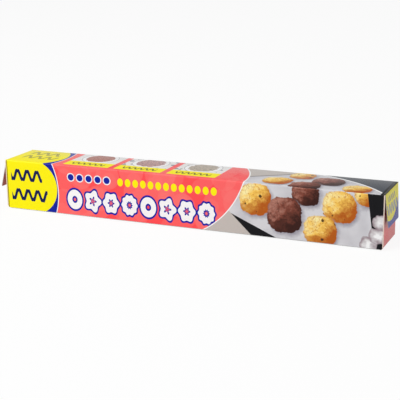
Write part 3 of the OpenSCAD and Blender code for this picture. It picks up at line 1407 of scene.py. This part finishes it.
@dataclass(frozen=True)
class BackPrint:
    """The plain print of the back: the coral ground with a bare pale panel."""

    start: float
    board: CoatedBoard = CoatedBoard()
    yellow: RoundEdge = RoundEdge((25.8, 20.0), 21.8)
    blue: RoundEdge = RoundEdge((-6.7, 20.0), 55.0)
    bare_low: Flat = (60.0, 6.5)
    bare_high: Flat = (296.0, 33.5)
    bare_corner: float = 3.0

    def make(self) -> bpy.types.Material:
        """Makes the material of the back print."""
        graph = Graph("back_print")
        blank = graph.blank()
        where = graph.vector("SUBTRACT", blank, (0.0, self.start, 0.0))
        bare = graph.panel(where, self.bare_low, self.bare_high, self.bare_corner)
        colour = graph.fill(coral_field(graph, blank), bare, ink(244, 243, 240))
        colour = sun_field(graph, where, self.yellow, self.blue, colour)
        return self.board.coat(graph, blank, colour)


@dataclass(frozen=True)
class EndWallPrint:
    """The coral print of the end walls."""

    board: CoatedBoard = CoatedBoard()

    def make(self) -> bpy.types.Material:
        """Makes the material of the end walls."""
        graph = Graph("end_wall_print")
        where = graph.blank()
        return self.board.coat(graph, where, coral_field(graph, where))


@dataclass(frozen=True)
class EndFlapPrint:
    """The print of the end flaps: yellow with a round lower edge over blue."""

    board: CoatedBoard = CoatedBoard()
    field_centre: Flat = (14.2, -6.3)
    field_radius: float = 28.8
    upper: WaveRow = WaveRow(8.0, 29.0, 6.8, pitch=4.6, swing=1.5, stroke=1.5)
    lower: WaveRow = WaveRow(4.5, 36.0, 14.2, pitch=6.6, swing=2.3, stroke=2.6)
    wave_share: float = 0.85

    def make(self) -> bpy.types.Material:
        """Makes the material of the end flaps. Their height runs down from the fold."""
        graph = Graph("end_flap_print")
        where = graph.blank()
        colour = graph.fill(BLUE, graph.disc(where, self.field_centre, self.field_radius), YELLOW)
        for row, tone in ((self.upper, ink(128, 120, 128)), (self.lower, ink(118, 128, 178))):
            colour = graph.fill(colour, row.edge(graph, where), tone, share=self.wave_share)
        return self.board.coat(graph, where, colour)


@dataclass(frozen=True)
class PaleBoard:
    """The white outside of the board where nothing is printed."""

    board: CoatedBoard = CoatedBoard(roughness=0.35)

    def make(self) -> bpy.types.Material:
        """Makes the material of the unprinted outside."""
        graph = Graph("pale_board")
        where = graph.blank()
        fleck = graph.noise(where, per_mm=1.1, detail=4.0, rough=0.6)
        return self.board.coat(graph, where, graph.mix(fleck, ink(232, 229, 224), ink(244, 242, 238)))


@dataclass(frozen=True)
class DarkFold:
    """The black end of the top's print, which runs over the right-hand fold."""

    board: CoatedBoard = CoatedBoard()

    def make(self) -> bpy.types.Material:
        """Makes the material of the right-hand fold."""
        graph = Graph("dark_fold")
        where = graph.blank()
        fleck = graph.noise(where, per_mm=1.1)
        return self.board.coat(graph, where, graph.mix(fleck, BLACK, ink(22, 22, 26)))


@dataclass(frozen=True)
class RawBoard:
    """The uncoated inside of the board: grey-brown fibres."""

    roughness: float = 0.85
    fibre_depth: float = 0.02
    refraction: float = 1.4

    def make(self) -> bpy.types.Material:
        """Makes the material of the inside."""
        graph = Graph("raw_board")
        where = graph.blank()
        cloud = graph.noise(where, per_mm=0.25, detail=4.0, rough=0.6)
        drawn = graph.vector("MULTIPLY", where, (1.0, 3.0, 1.0))
        fibre = graph.noise(drawn, per_mm=1.4, detail=4.0, rough=0.7)
        colour = graph.mix(cloud, ink(168, 152, 138), ink(190, 176, 162))
        share = graph.calc("MULTIPLY_ADD", fibre, 1.6, -0.6, clamp=True)
        colour = graph.mix(share, colour, ink(146, 128, 114))
        rough = graph.calc("MULTIPLY_ADD", fibre, 0.1, self.roughness)
        return graph.surface(colour, rough, graph.bump(fibre, self.fibre_depth), IOR=self.refraction)


@dataclass(frozen=True)
class CutEdge:
    """The cut edge of the board: white liner on grey fibres."""

    roughness: float = 0.9
    fibre_depth: float = 0.02
    refraction: float = 1.4

    def make(self) -> bpy.types.Material:
        """Makes the material of the cut edges."""
        graph = Graph("cut_edge")
        fibre = graph.noise(graph.blank(), per_mm=3.0, detail=4.0, rough=0.7)
        colour = graph.mix(fibre, ink(206, 196, 186), ink(232, 226, 218))
        normal = graph.bump(fibre, self.fibre_depth)
        return graph.surface(colour, self.roughness, normal, IOR=self.refraction)


@dataclass(frozen=True)
class BakingPaper:
    """Thin off-white paper with a faint silicone sheen."""

    roughness: float = 0.38
    fibre_depth: float = 0.008
    cockle_depth: float = 0.15
    refraction: float = 1.45

    def make(self) -> bpy.types.Material:
        """Makes the material of the wound paper."""
        graph = Graph("baking_paper")
        where = graph.blank()
        fibre = graph.noise(where, per_mm=1.2, detail=5.0, rough=0.65)
        cloud = graph.noise(where, per_mm=0.08, detail=3.0)
        colour = graph.mix(cloud, ink(240, 236, 226), ink(248, 245, 238))
        share = graph.calc("MULTIPLY_ADD", fibre, 1.5, -0.7, clamp=True)
        colour = graph.mix(share, colour, ink(228, 222, 208))
        rough = graph.calc("MULTIPLY_ADD", fibre, 0.15, self.roughness)
        normal = graph.bump(fibre, self.fibre_depth, graph.bump(cloud, self.cockle_depth))
        return graph.surface(colour, rough, normal, IOR=self.refraction)


@dataclass(frozen=True)
class CoreBoard:
    """The core's grey-brown board, wound from a strip with a spiral seam."""

    strip: float = 70.0
    lead: float = 0.7
    seam: float = 0.008
    roughness: float = 0.9
    fibre_depth: float = 0.04
    refraction: float = 1.4

    def make(self) -> bpy.types.Material:
        """Makes the material of the core tube."""
        graph = Graph("core_board")
        where = graph.blank()
        fibre = graph.noise(where, per_mm=0.9, detail=5.0, rough=0.7)
        across, up = graph.parts(where)
        wound = graph.calc("MULTIPLY_ADD", up, self.lead, across)
        phase = graph.calc("FRACT", graph.calc("DIVIDE", wound, self.strip))
        seam = graph.calc("LESS_THAN", phase, self.seam)
        colour = graph.mix(fibre, ink(150, 126, 102), ink(184, 160, 132))
        colour = graph.mix(graph.calc("MULTIPLY", seam, 0.6), colour, ink(96, 78, 62))
        normal = graph.bump(graph.calc("SUBTRACT", fibre, seam), self.fibre_depth)
        return graph.surface(colour, self.roughness, normal, IOR=self.refraction)


@dataclass(frozen=True)
class CutterSteel:
    """Bright rolled steel, with fine lines along the strip."""

    roughness: float = 0.24
    line_depth: float = 0.004

    def make(self) -> bpy.types.Material:
        """Makes the material of the cutter."""
        graph = Graph("cutter_steel")
        rolled = graph.vector("MULTIPLY", graph.blank(), (0.06, 6.0, 1.0))
        lines = graph.noise(rolled, per_mm=1.0, detail=3.0, rough=0.6)
        rough = graph.calc("MULTIPLY_ADD", lines, 0.18, self.roughness)
        colour = graph.mix(lines, ink(176, 178, 182), ink(206, 208, 212))
        return graph.surface(colour, rough, graph.bump(lines, self.line_depth), Metallic=1.0)


@dataclass(frozen=True)
class Finishes:
    """Every material of the object."""

    front: bpy.types.Material
    top: bpy.types.Material
    back: bpy.types.Material
    end_wall: bpy.types.Material
    end_flap: bpy.types.Material
    dark_fold: bpy.types.Material
    pale: bpy.types.Material
    raw: bpy.types.Material
    cut: bpy.types.Material
    paper: bpy.types.Material
    core: bpy.types.Material
    steel: bpy.types.Material

    @classmethod
    def make(cls, carton: Carton) -> "Finishes":
        """Makes the materials for a carton of the given sizes.

        Args:
            carton: The carton's sizes.

        Returns:
            The materials.
        """
        top_depth = carton.back_start - carton.top_start
        return cls(
            front=FrontPrint().make(),
            top=TopPrint(carton.top_start / MM, top_depth / MM).make(),
            back=BackPrint(carton.back_start / MM).make(),
            end_wall=EndWallPrint().make(),
            end_flap=EndFlapPrint().make(),
            dark_fold=DarkFold().make(),
            pale=PaleBoard().make(),
            raw=RawBoard().make(),
            cut=CutEdge().make(),
            paper=BakingPaper().make(),
            core=CoreBoard().make(),
            steel=CutterSteel().make(),
        )


@dataclass(frozen=True)
class Tray:
    """The fixed part of the carton: bottom, long walls, end walls and dust flaps."""

    carton: Carton
    dust_flap: float = 17.0 * MM
    dust_drop: float = 3.0 * MM
    end_inset: float = 0.6 * MM
    end_corner: float = 2.5 * MM
    columns: int = 60

    @property
    def dust_x(self) -> float:
        """Where the dust flaps' outer faces lie."""
        return self.carton.tray_length / 2 - self.carton.board

    def _channel(self, mesh: BoardMesh) -> None:
        """Adds the front wall, the bottom and the back wall as one folded sheet."""
        c = self.carton
        bend = c.tray_fold
        path = SectionPath((c.wall_y, c.wall_top), -90, -1)
        path.straight(c.wall_top - bend, 4).fold(90, bend)
        path.straight(c.back_y - c.wall_y - 2 * bend, 6).fold(90, bend)
        path.straight(c.top_z - c.fold_radius - c.lap - bend, 6)
        half = self.dust_x - bend
        total = path.travelled

        def blank(travelled: float, point: Vector) -> Flat:
            """The place on the blank, counted back from the lid's crease."""
            return point.x + c.length / 2, c.back_flat + c.lap + total - travelled

        def outer(height: float) -> int:
            """Back, bottom or front wall."""
            if height < c.base_start:
                return Face.OUTSIDE
            return Face.NEXT_PANEL

        grid = folded_grid(path, Sweep.ALONG_X, lambda _: (-half, half), self.columns, blank)
        mesh.add(grid, outer)

    def _dust_flap(self, mesh: BoardMesh, end: End, back: bool) -> None:
        """Adds one flap that folds in from a long wall behind an end wall.

        Args:
            mesh: The tray's mesh.
            end: The end of the carton.
            back: Whether it folds from the back wall.
        """
        c = self.carton
        bend = c.tray_fold
        wall = c.back_y if back else c.wall_y
        heading = 0 if end is End.RIGHT else 180
        outside = int(end) * (1 if back else -1)
        path = SectionPath((end * (self.dust_x - bend), wall), heading, outside)
        path.fold(90, bend).straight(self.dust_flap, 3)
        top = c.wall_top - self.dust_drop
        shelf = c.back_flat if back else c.wall_start

        def blank(travelled: float, point: Vector) -> Flat:
            """The place on the blank beside the wall that the flap folds from."""
            return point.x + c.length / 2 + end * travelled, shelf + c.top_z - point.z

        grid = folded_grid(path, Sweep.ALONG_Z, lambda _: (bend, top), 4, blank)
        place = Face.OUTSIDE if back else Face.NEXT_PANEL
        mesh.add(grid, lambda _: place)

    def _end_wall(self, mesh: BoardMesh, end: End) -> None:
        """Adds one end wall, folded up from the bottom.

        Args:
            mesh: The tray's mesh.
            end: The end of the carton.
        """
        c = self.carton
        bend = c.tray_fold
        heading = 0 if end is End.RIGHT else 180
        path = SectionPath((end * (self.dust_x - bend), 0.0), heading, -int(end))
        path.straight(c.board).fold(90, bend)
        path.straight(c.wall_top - bend - self.end_corner, 5).straight(self.end_corner)
        total = path.travelled

        def reach(travelled: float) -> tuple[float, float]:
            """The wall's two edges, drawn in at the cut corners."""
            cut = max(0.0, travelled - (total - self.end_corner))
            return c.wall_y + self.end_inset + cut, c.back_y - self.end_inset - cut

        def blank(travelled: float, point: Vector) -> Flat:
            """The place on the end wall, from its front edge and from the bottom."""
            return point.y - c.front_y, travelled

        mesh.add(folded_grid(path, Sweep.ALONG_Y, reach, 8, blank), lambda _: Face.THIRD_PANEL)

    def build(self, finishes: Finishes) -> bpy.types.Object:
        """Builds the tray.

        Args:
            finishes: The object's materials.

        Returns:
            The tray.
        """
        mesh = BoardMesh("tray_board", self.carton.board)
        self._channel(mesh)
        for end in End:
            self._dust_flap(mesh, end, back=False)
            self._dust_flap(mesh, end, back=True)
            self._end_wall(mesh, end)
        places = [finishes.back, finishes.raw, finishes.cut, finishes.pale, finishes.end_wall]
        piece = mesh.finish(places)
        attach(piece, "tray")
        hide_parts("carton_tray")
        return piece


@dataclass(frozen=True)
class Lid:
    """The top panel with its fold over the back wall."""

    carton: Carton
    flap_inset: float = 1.6 * MM
    notch: float = 0.1 * MM
    columns: int = 80

    def build(self, finishes: Finishes) -> bpy.types.Object:
        """Builds the lid.

        Args:
            finishes: The object's materials.

        Returns:
            The lid, with its fold at the back crease.
        """
        c = self.carton
        bend = c.fold_radius
        path = SectionPath((c.back_y, c.top_z - bend - c.lap), 90, -1)
        path.straight(c.lap).fold(90, bend)
        start = path.travelled
        tab = self.flap_inset - bend
        flat = c.depth - 2 * self.flap_inset
        path.straight(tab).straight(self.notch).straight(flat - 2 * self.notch, 12)
        path.straight(self.notch).straight(tab - c.lap)
        back_half = c.tray_length / 2 - c.board - c.tray_fold
        narrow = c.length / 2 - bend - c.lap

        def reach(travelled: float) -> tuple[float, float]:
            """The lid's ends: short at the crease, full at the tabs, drawn in at the end flaps."""
            half = c.length / 2
            if travelled < start - c.fold_length / 2:
                half = back_half
            elif start + tab < travelled < start + tab + flat - self.notch / 10:
                half = narrow
            return -half, half

        def blank(travelled: float, point: Vector) -> Flat:
            """The place on the blank, counted back from the back wall."""
            return point.x + c.length / 2, c.back_flat + c.lap - travelled

        def outer(height: float) -> int:
            """Top panel, or back panel past the crease."""
            return Face.NEXT_PANEL if height > c.back_start else Face.OUTSIDE

        mesh = BoardMesh("lid_board", c.board)
        mesh.add(folded_grid(path, Sweep.ALONG_X, reach, self.columns, blank), outer)
        piece = mesh.finish([finishes.top, finishes.raw, finishes.cut, finishes.back])
        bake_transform(piece)
        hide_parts("lid_panel")
        return piece


@dataclass(frozen=True)
class FrontCover:
    """The full-height cover that hangs from the lid's front crease."""

    carton: Carton
    corner: float = 1.5 * MM
    columns: int = 80

    def build(self, finishes: Finishes) -> bpy.types.Object:
        """Builds the front cover.

        Args:
            finishes: The object's materials.

        Returns:
            The cover, with its fold at the front crease.
        """
        c = self.carton
        bend = c.fold_radius
        path = SectionPath((c.front_y, c.flap_rise), 90, 1)
        path.straight(self.corner)
        path.straight(c.top_z - bend - c.flap_rise - self.corner, 10)
        path.fold(90, bend).straight(c.lap)

        def reach(travelled: float) -> tuple[float, float]:
            """The cover's ends, drawn in at the cut lower corners."""
            half = c.length / 2 - max(0.0, self.corner - travelled)
            return -half, half

        def blank(travelled: float, point: Vector) -> Flat:
            """The place on the blank, from the left end and from the base."""
            return point.x + c.length / 2, c.flap_rise + travelled

        def outer(height: float) -> int:
            """Front panel, or top panel past the crease."""
            return Face.NEXT_PANEL if height > c.top_start else Face.OUTSIDE

        mesh = BoardMesh("front_cover_board", c.board)
        mesh.add(folded_grid(path, Sweep.ALONG_X, reach, self.columns, blank), outer)
        piece = mesh.finish([finishes.front, finishes.raw, finishes.cut, finishes.top])
        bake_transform(piece)
        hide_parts("front_flap")
        return piece


@dataclass(frozen=True)
class EndFlap:
    """A loose flap at one end of the lid, standing off the end wall."""

    carton: Carton
    end: End
    flare: float
    axis: Vector
    drop: float = 25.05 * MM
    inset: float = 1.6 * MM
    taper: float = 8.0
    corner: float = 1.2 * MM
    top_print_share: float = 0.7

    def build(self, finishes: Finishes) -> bpy.types.Object:
        """Builds the flap.

        Args:
            finishes: The object's materials.

        Returns:
            The flap, with its fold at its crease.
        """
        c = self.carton
        bend = c.fold_radius
        side = int(self.end)
        slant = math.radians(self.flare)
        stand = bend - c.board
        back = stand * (1 - math.sin(slant)) / math.cos(slant)
        fold_x = abs(self.axis.x) - back
        edge_x = c.length / 2 - bend - c.lap
        path = SectionPath((side * edge_x, c.top_z), 0 if side > 0 else 180, side)
        path.straight(fold_x - edge_x).fold(90 - self.flare, bend)
        start = path.travelled
        length = self.drop - (stand * math.cos(slant) - back * math.sin(slant))
        path.straight(length - self.corner, 6).straight(self.corner, 4)
        total = path.travelled
        half_top = c.depth / 2 - self.inset

        def reach(travelled: float) -> tuple[float, float]:
            """The flap's two edges: sloping, with round lower corners."""
            half = half_top - max(0.0, travelled - start) * math.tan(math.radians(self.taper))
            into = max(0.0, travelled - (total - self.corner))
            half -= self.corner - math.sqrt(max(0.0, self.corner**2 - into**2))
            return -half, half

        def blank(travelled: float, point: Vector) -> Flat:
            """The place on the flap, from the front face and from the fold."""
            return point.y - c.front_y, travelled

        def outer(height: float) -> int:
            """The flap's own print, or the top panel before the crease."""
            return Face.OUTSIDE if height > start * self.top_print_share else Face.NEXT_PANEL

        mesh = BoardMesh(f"{self.end.name.lower()}_flap_board", c.board)
        mesh.add(folded_grid(path, Sweep.ALONG_Y, reach, 10, blank), outer)
        fold = finishes.dark_fold if self.end is End.RIGHT else finishes.end_flap
        piece = mesh.finish([finishes.end_flap, finishes.raw, finishes.cut, fold])
        body = f"{self.end.name.lower()}_flap"
        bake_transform(piece)
        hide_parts(f"{self.end.name.lower()}_end_flap")
        return piece


@dataclass(frozen=True)
class Cutter:
    """The toothed steel strip inside the front cover's lower edge."""

    tooth_height: float = 1.2 * MM
    pitch: float = 2.0 * MM
    bevel: float = 0.6

    def build(self, finishes: Finishes) -> bpy.types.Object:
        """Builds the strip with its teeth ground towards their points.

        Args:
            finishes: The object's materials.

        Returns:
            The strip.
        """
        low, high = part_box("cutter_strip")
        teeth = round((high.x - low.x) / self.pitch)
        step = (high.x - low.x) / teeth
        root_z = low.z + self.tooth_height
        mesh = bmesh.new()
        layer = mesh.loops.layers.uv.new(BLANK_MAP)
        thin = (high.y - low.y) * self.bevel / 2

        def column(x: float, z: float, ground: float) -> tuple[bmesh.types.BMVert, bmesh.types.BMVert]:
            """A front and a back vertex, drawn together where the steel is ground."""
            return mesh.verts.new((x, low.y + ground, z)), mesh.verts.new((x, high.y - ground, z))

        roots = [column(low.x + i * step, root_z, 0.0) for i in range(teeth + 1)]
        tops = [column(low.x + i * step, high.z, 0.0) for i in range(teeth + 1)]
        tips = [column(low.x + (i + 0.5) * step, low.z, thin) for i in range(teeth)]
        faces = []
        for i in range(teeth):
            left, right, tip = roots[i], roots[i + 1], tips[i]
            faces.append((left[0], right[0], tops[i + 1][0], tops[i][0]))
            faces.append((tops[i][1], tops[i + 1][1], right[1], left[1]))
            faces.append((left[0], tip[0], right[0]))
            faces.append((right[1], tip[1], left[1]))
            faces.append((tip[0], left[0], left[1], tip[1]))
            faces.append((right[0], tip[0], tip[1], right[1]))
            faces.append((tops[i][0], tops[i + 1][0], tops[i + 1][1], tops[i][1]))
        faces.append((roots[0][0], tops[0][0], tops[0][1], roots[0][1]))
        faces.append((tops[-1][0], roots[-1][0], roots[-1][1], tops[-1][1]))
        for corners in faces:
            face = mesh.faces.new(corners)
            for loop in face.loops:
                loop[layer].uv = (loop.vert.co.x, loop.vert.co.z)
        piece = solid_piece("cutter_blade", mesh, [finishes.steel])
        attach(piece, "front_cover")
        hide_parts("cutter_strip")
        return piece


@dataclass(frozen=True)
class PaperRoll:
    """The paper, wound turn by turn, with its loose end over the front."""

    sheet: float = 0.05 * MM
    pitch: float = 0.0575 * MM
    steps: int = 40
    tail_lift: float = 1.6 * MM
    tail_angle: float = 54.0
    tail_end: float = 135.0
    stray: float = 0.12 * MM
    stray_angle: float = 900.0

    def build(self, finishes: Finishes) -> bpy.types.Object:
        """Builds the roll.

        Args:
            finishes: The object's materials.

        Returns:
            The roll.
        """
        core_low, core_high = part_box("core_tube")
        low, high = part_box("paper_roll")
        centre = (core_low + core_high) / 2
        inner = (core_high.z - core_low.z) / 2 + self.sheet
        outer = centre.z - low.z
        turns = round((outer - inner) / self.pitch)
        pitch = (outer - inner) / turns
        total = 360.0 * turns
        half = (high.x - low.x) / 2
        mesh = bmesh.new()
        layer = mesh.loops.layers.uv.new(BLANK_MAP)

        def ring(step: int) -> tuple[list[bmesh.types.BMVert], float]:
            """The sheet's four corners at one step of the winding, and the length so far."""
            angle = step * 360.0 / self.steps
            loose = max(0.0, 1 - (total - angle) / self.tail_angle)
            near = inner + pitch * angle / 360.0 + self.tail_lift * loose**2
            turn = math.radians(self.tail_end + angle - total)
            slide = self.stray * noise.noise((angle / self.stray_angle, 0.5, 0.5))
            made = []
            for radius in (near, near + self.sheet):
                y = centre.y + radius * math.cos(turn)
                z = centre.z + radius * math.sin(turn)
                made += [mesh.verts.new((-half + slide, y, z)), mesh.verts.new((half + slide, y, z))]
            return made, math.radians(angle) * near

        before, so_far = ring(0)
        first = before
        broad, narrow = ((0, 1), (3, 2)), ((2, 0), (1, 3))
        for step in range(1, turns * self.steps + 1):
            after, reached = ring(step)
            for a, b in broad + narrow:
                face = mesh.faces.new((before[a], before[b], after[b], after[a]))
                face.smooth = (a, b) in broad
                for loop in face.loops:
                    length = so_far if loop.vert in before else reached
                    loop[layer].uv = (loop.vert.co.x, length)
            before, so_far = after, reached
        near_end = first[0], first[2], first[3], first[1]
        far_end = before[1], before[3], before[2], before[0]
        for ends in (near_end, far_end):
            mesh.faces.new(ends)
        sharpen(mesh)
        piece = solid_piece("wound_paper", mesh, [finishes.paper])
        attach(piece, "tray")
        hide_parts("paper_roll")
        return piece


@dataclass(frozen=True)
class Core:
    """The board tube in the middle of the roll."""

    wall: float = 1.3 * MM
    ease: float = 0.25 * MM
    sides: int = 72

    def build(self, finishes: Finishes) -> bpy.types.Object:
        """Builds the tube with eased ends.

        Args:
            finishes: The object's materials.

        Returns:
            The tube.
        """
        low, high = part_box("core_tube")
        centre = (low + high) / 2
        outer = (high.z - low.z) / 2
        inner = outer - self.wall
        half = (high.x - low.x) / 2
        ease = self.ease
        profile = [(-half + ease, outer), (half - ease, outer)]
        profile += [(half, outer - ease), (half, inner + ease)]
        profile += [(half - ease, inner), (-half + ease, inner)]
        profile += [(-half, inner + ease), (-half, outer - ease)]
        mesh = bmesh.new()
        layer = mesh.loops.layers.uv.new(BLANK_MAP)
        rings = []
        for n in range(self.sides):
            turn = 2 * math.pi * n / self.sides
            rings.append([
                mesh.verts.new((x, centre.y + r * math.cos(turn), centre.z + r * math.sin(turn)))
                for x, r in profile
            ])
        for n, here in enumerate(rings):
            after = rings[(n + 1) % self.sides]
            for k in range(len(profile)):
                m = (k + 1) % len(profile)
                face = mesh.faces.new((here[k], here[m], after[m], after[k]))
                face.smooth = k in (0, 4)
                for loop in face.loops:
                    step = n + (1 if loop.vert in after else 0)
                    loop[layer].uv = (loop.vert.co.x, 2 * math.pi * outer * step / self.sides)
        sharpen(mesh)
        piece = solid_piece("core_sleeve", mesh, [finishes.core])
        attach(piece, "tray")
        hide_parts("core_tube")
        return piece


@dataclass(frozen=True)
class Studio:
    """The pale floor, the soft lamps and the camera at the photograph's angle."""

    camera_place: Place = (0.3109, -0.6878, 0.2221)
    azimuth: float = 23.834
    elevation: float = 15.229
    roll: float = -0.773
    focal_pixels: float = 1016.76
    image_pixels: float = 400.0
    sensor: float = 36.0
    sky_light: float = 0.54
    floor_white: Ink = ink(254, 254, 254)
    floor_bounce: Ink = ink(228, 228, 228)
    floor_glow: float = 0.9
    floor_half: float = 6.0
    floor_drop: float = 0.05 * MM
    key_place: Place = (-1.08, -1.49, 1.54)
    key_size: float = 1.4
    key_power: float = 40.0

    def camera(self) -> bpy.types.Object:
        """Places the camera, which looks in from the right and from above."""
        data = bpy.data.cameras.new("camera")
        data.sensor_width = self.sensor
        data.lens = self.focal_pixels / self.image_pixels * self.sensor
        data.clip_end = 50.0
        made = place_in_scene("camera", data)
        turn, tilt, lean = (math.radians(a) for a in (self.azimuth, self.elevation, self.roll))
        flat = math.cos(tilt)
        ahead = Vector((-math.sin(turn) * flat, math.cos(turn) * flat, -math.sin(tilt)))
        level = ahead.cross(Vector((0.0, 0.0, 1.0))).normalized()
        above = level.cross(ahead)
        right = level * math.cos(lean) + above * math.sin(lean)
        up = right.cross(ahead)
        axes = Matrix((right, up, -ahead)).transposed()
        made.matrix_world = Matrix.Translation(self.camera_place) @ axes.to_4x4()
        bpy.context.scene.camera = made
        return made

    def lamp(self, name: str, place: Place, size: float, power: float) -> None:
        """Adds a soft square lamp that faces the object.

        Args:
            name: Name of the lamp.
            place: Where it stands.
            size: Length of its sides.
            power: Its power in watts.
        """
        data = bpy.data.lights.new(name, "AREA")
        data.shape = "SQUARE"
        data.size = size
        data.energy = power
        made = place_in_scene(name, data)
        made.location = place
        made.rotation_euler = (-Vector(place)).to_track_quat("-Z", "Y").to_euler()

    def seen_rays(self, tree: bpy.types.NodeTree) -> Socket:
        """Share of rays that see the white background: camera, glossy and transmission rays.

        Args:
            tree: The tree in which the nodes are made.

        Returns:
            1 for such a ray and 0 for any other.
        """
        rays = tree.nodes.new("ShaderNodeLightPath")
        share = rays.outputs["Is Camera Ray"]
        for kind in ("Is Glossy Ray", "Is Transmission Ray"):
            either = tree.nodes.new("ShaderNodeMath")
            either.operation = "MAXIMUM"
            tree.links.new(share, either.inputs[0])
            tree.links.new(rays.outputs[kind], either.inputs[1])
            share = either.outputs[0]
        return share

    def surroundings(self) -> None:
        """Makes the white surroundings, and the softer light that they give."""
        world = bpy.data.worlds.new("studio")
        bpy.context.scene.world = world
        world.use_nodes = True
        tree = world.node_tree
        tree.nodes.clear()
        seen = tree.nodes.new("ShaderNodeBackground")
        seen.inputs["Strength"].default_value = 1.0
        light = tree.nodes.new("ShaderNodeBackground")
        light.inputs["Strength"].default_value = self.sky_light
        mixed = tree.nodes.new("ShaderNodeMixShader")
        tree.links.new(self.seen_rays(tree), mixed.inputs[0])
        tree.links.new(light.outputs[0], mixed.inputs[1])
        tree.links.new(seen.outputs[0], mixed.inputs[2])
        out = tree.nodes.new("ShaderNodeOutputWorld")
        tree.links.new(mixed.outputs[0], out.inputs["Surface"])

    def floor_finish(self) -> bpy.types.Material:
        """Makes the floor's material: white where it is seen, and grey as a source of light."""
        graph = Graph("pale_floor")
        seen = self.seen_rays(graph.tree)
        matt = graph.node("ShaderNodeBsdfDiffuse")
        graph.feed(matt.inputs["Color"], graph.mix(seen, self.floor_bounce, self.floor_white))
        lit = graph.node("ShaderNodeEmission")
        lit.inputs["Strength"].default_value = 1.0
        mixed = graph.node("ShaderNodeMixShader")
        graph.feed(mixed.inputs[0], graph.calc("MULTIPLY", seen, self.floor_glow))
        graph.feed(mixed.inputs[1], matt.outputs[0])
        graph.feed(mixed.inputs[2], lit.outputs[0])
        out = graph.node("ShaderNodeOutputMaterial")
        graph.feed(out.inputs["Surface"], mixed.outputs[0])
        return graph.material

    def floor(self) -> None:
        """Lays the pale floor just under the carton."""
        half = self.floor_half
        plan = (-half, -half), (half, -half), (half, half), (-half, half)
        mesh = bpy.data.meshes.new("floor")
        mesh.from_pydata([(x, y, -self.floor_drop) for x, y in plan], [], [(0, 1, 2, 3)])
        mesh.materials.append(self.floor_finish())
        made = place_in_scene("floor", mesh)

    def build(self) -> None:
        """Builds the whole studio."""
        self.camera()
        self.surroundings()
        self.floor()
        self.lamp("key_lamp", self.key_place, self.key_size, self.key_power)
        bpy.context.scene.view_settings.view_transform = "Standard"


def joint(name: str) -> dict:
    """Finds a joint of the frame by its name."""
    return next(j for j in frame["joints"] if j["name"] == name)


def end_flap(carton: Carton, end: End) -> EndFlap:
    """Makes the description of one end flap from its joint.

    Args:
        carton: The carton's sizes.
        end: The end of the carton.

    Returns:
        The flap, with the angle at which it stands off.
    """
    hinge = joint(f"{end.name.lower()}_flap_hinge")
    return EndFlap(carton, end, -hinge["range_deg"][0], Vector(hinge["pos_m"]))


def main() -> None:
    """Builds the studio and the carton."""
    logging.basicConfig(level=logging.INFO, format="%(name)s: %(message)s")
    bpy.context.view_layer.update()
    Studio().build()
    carton = Carton.from_frame()
    finishes = Finishes.make(carton)
    builders = [
        Tray(carton),
        Lid(carton),
        FrontCover(carton),
        end_flap(carton, End.LEFT),
        end_flap(carton, End.RIGHT),
        Cutter(),
        PaperRoll(),
        Core(),
    ]
    for builder in builders:
        piece = builder.build(finishes)
        log.info("%s has %d faces", piece.name, len(piece.data.polygons))
    bpy.context.view_layer.update()


if __name__ == "__main__":
    main()
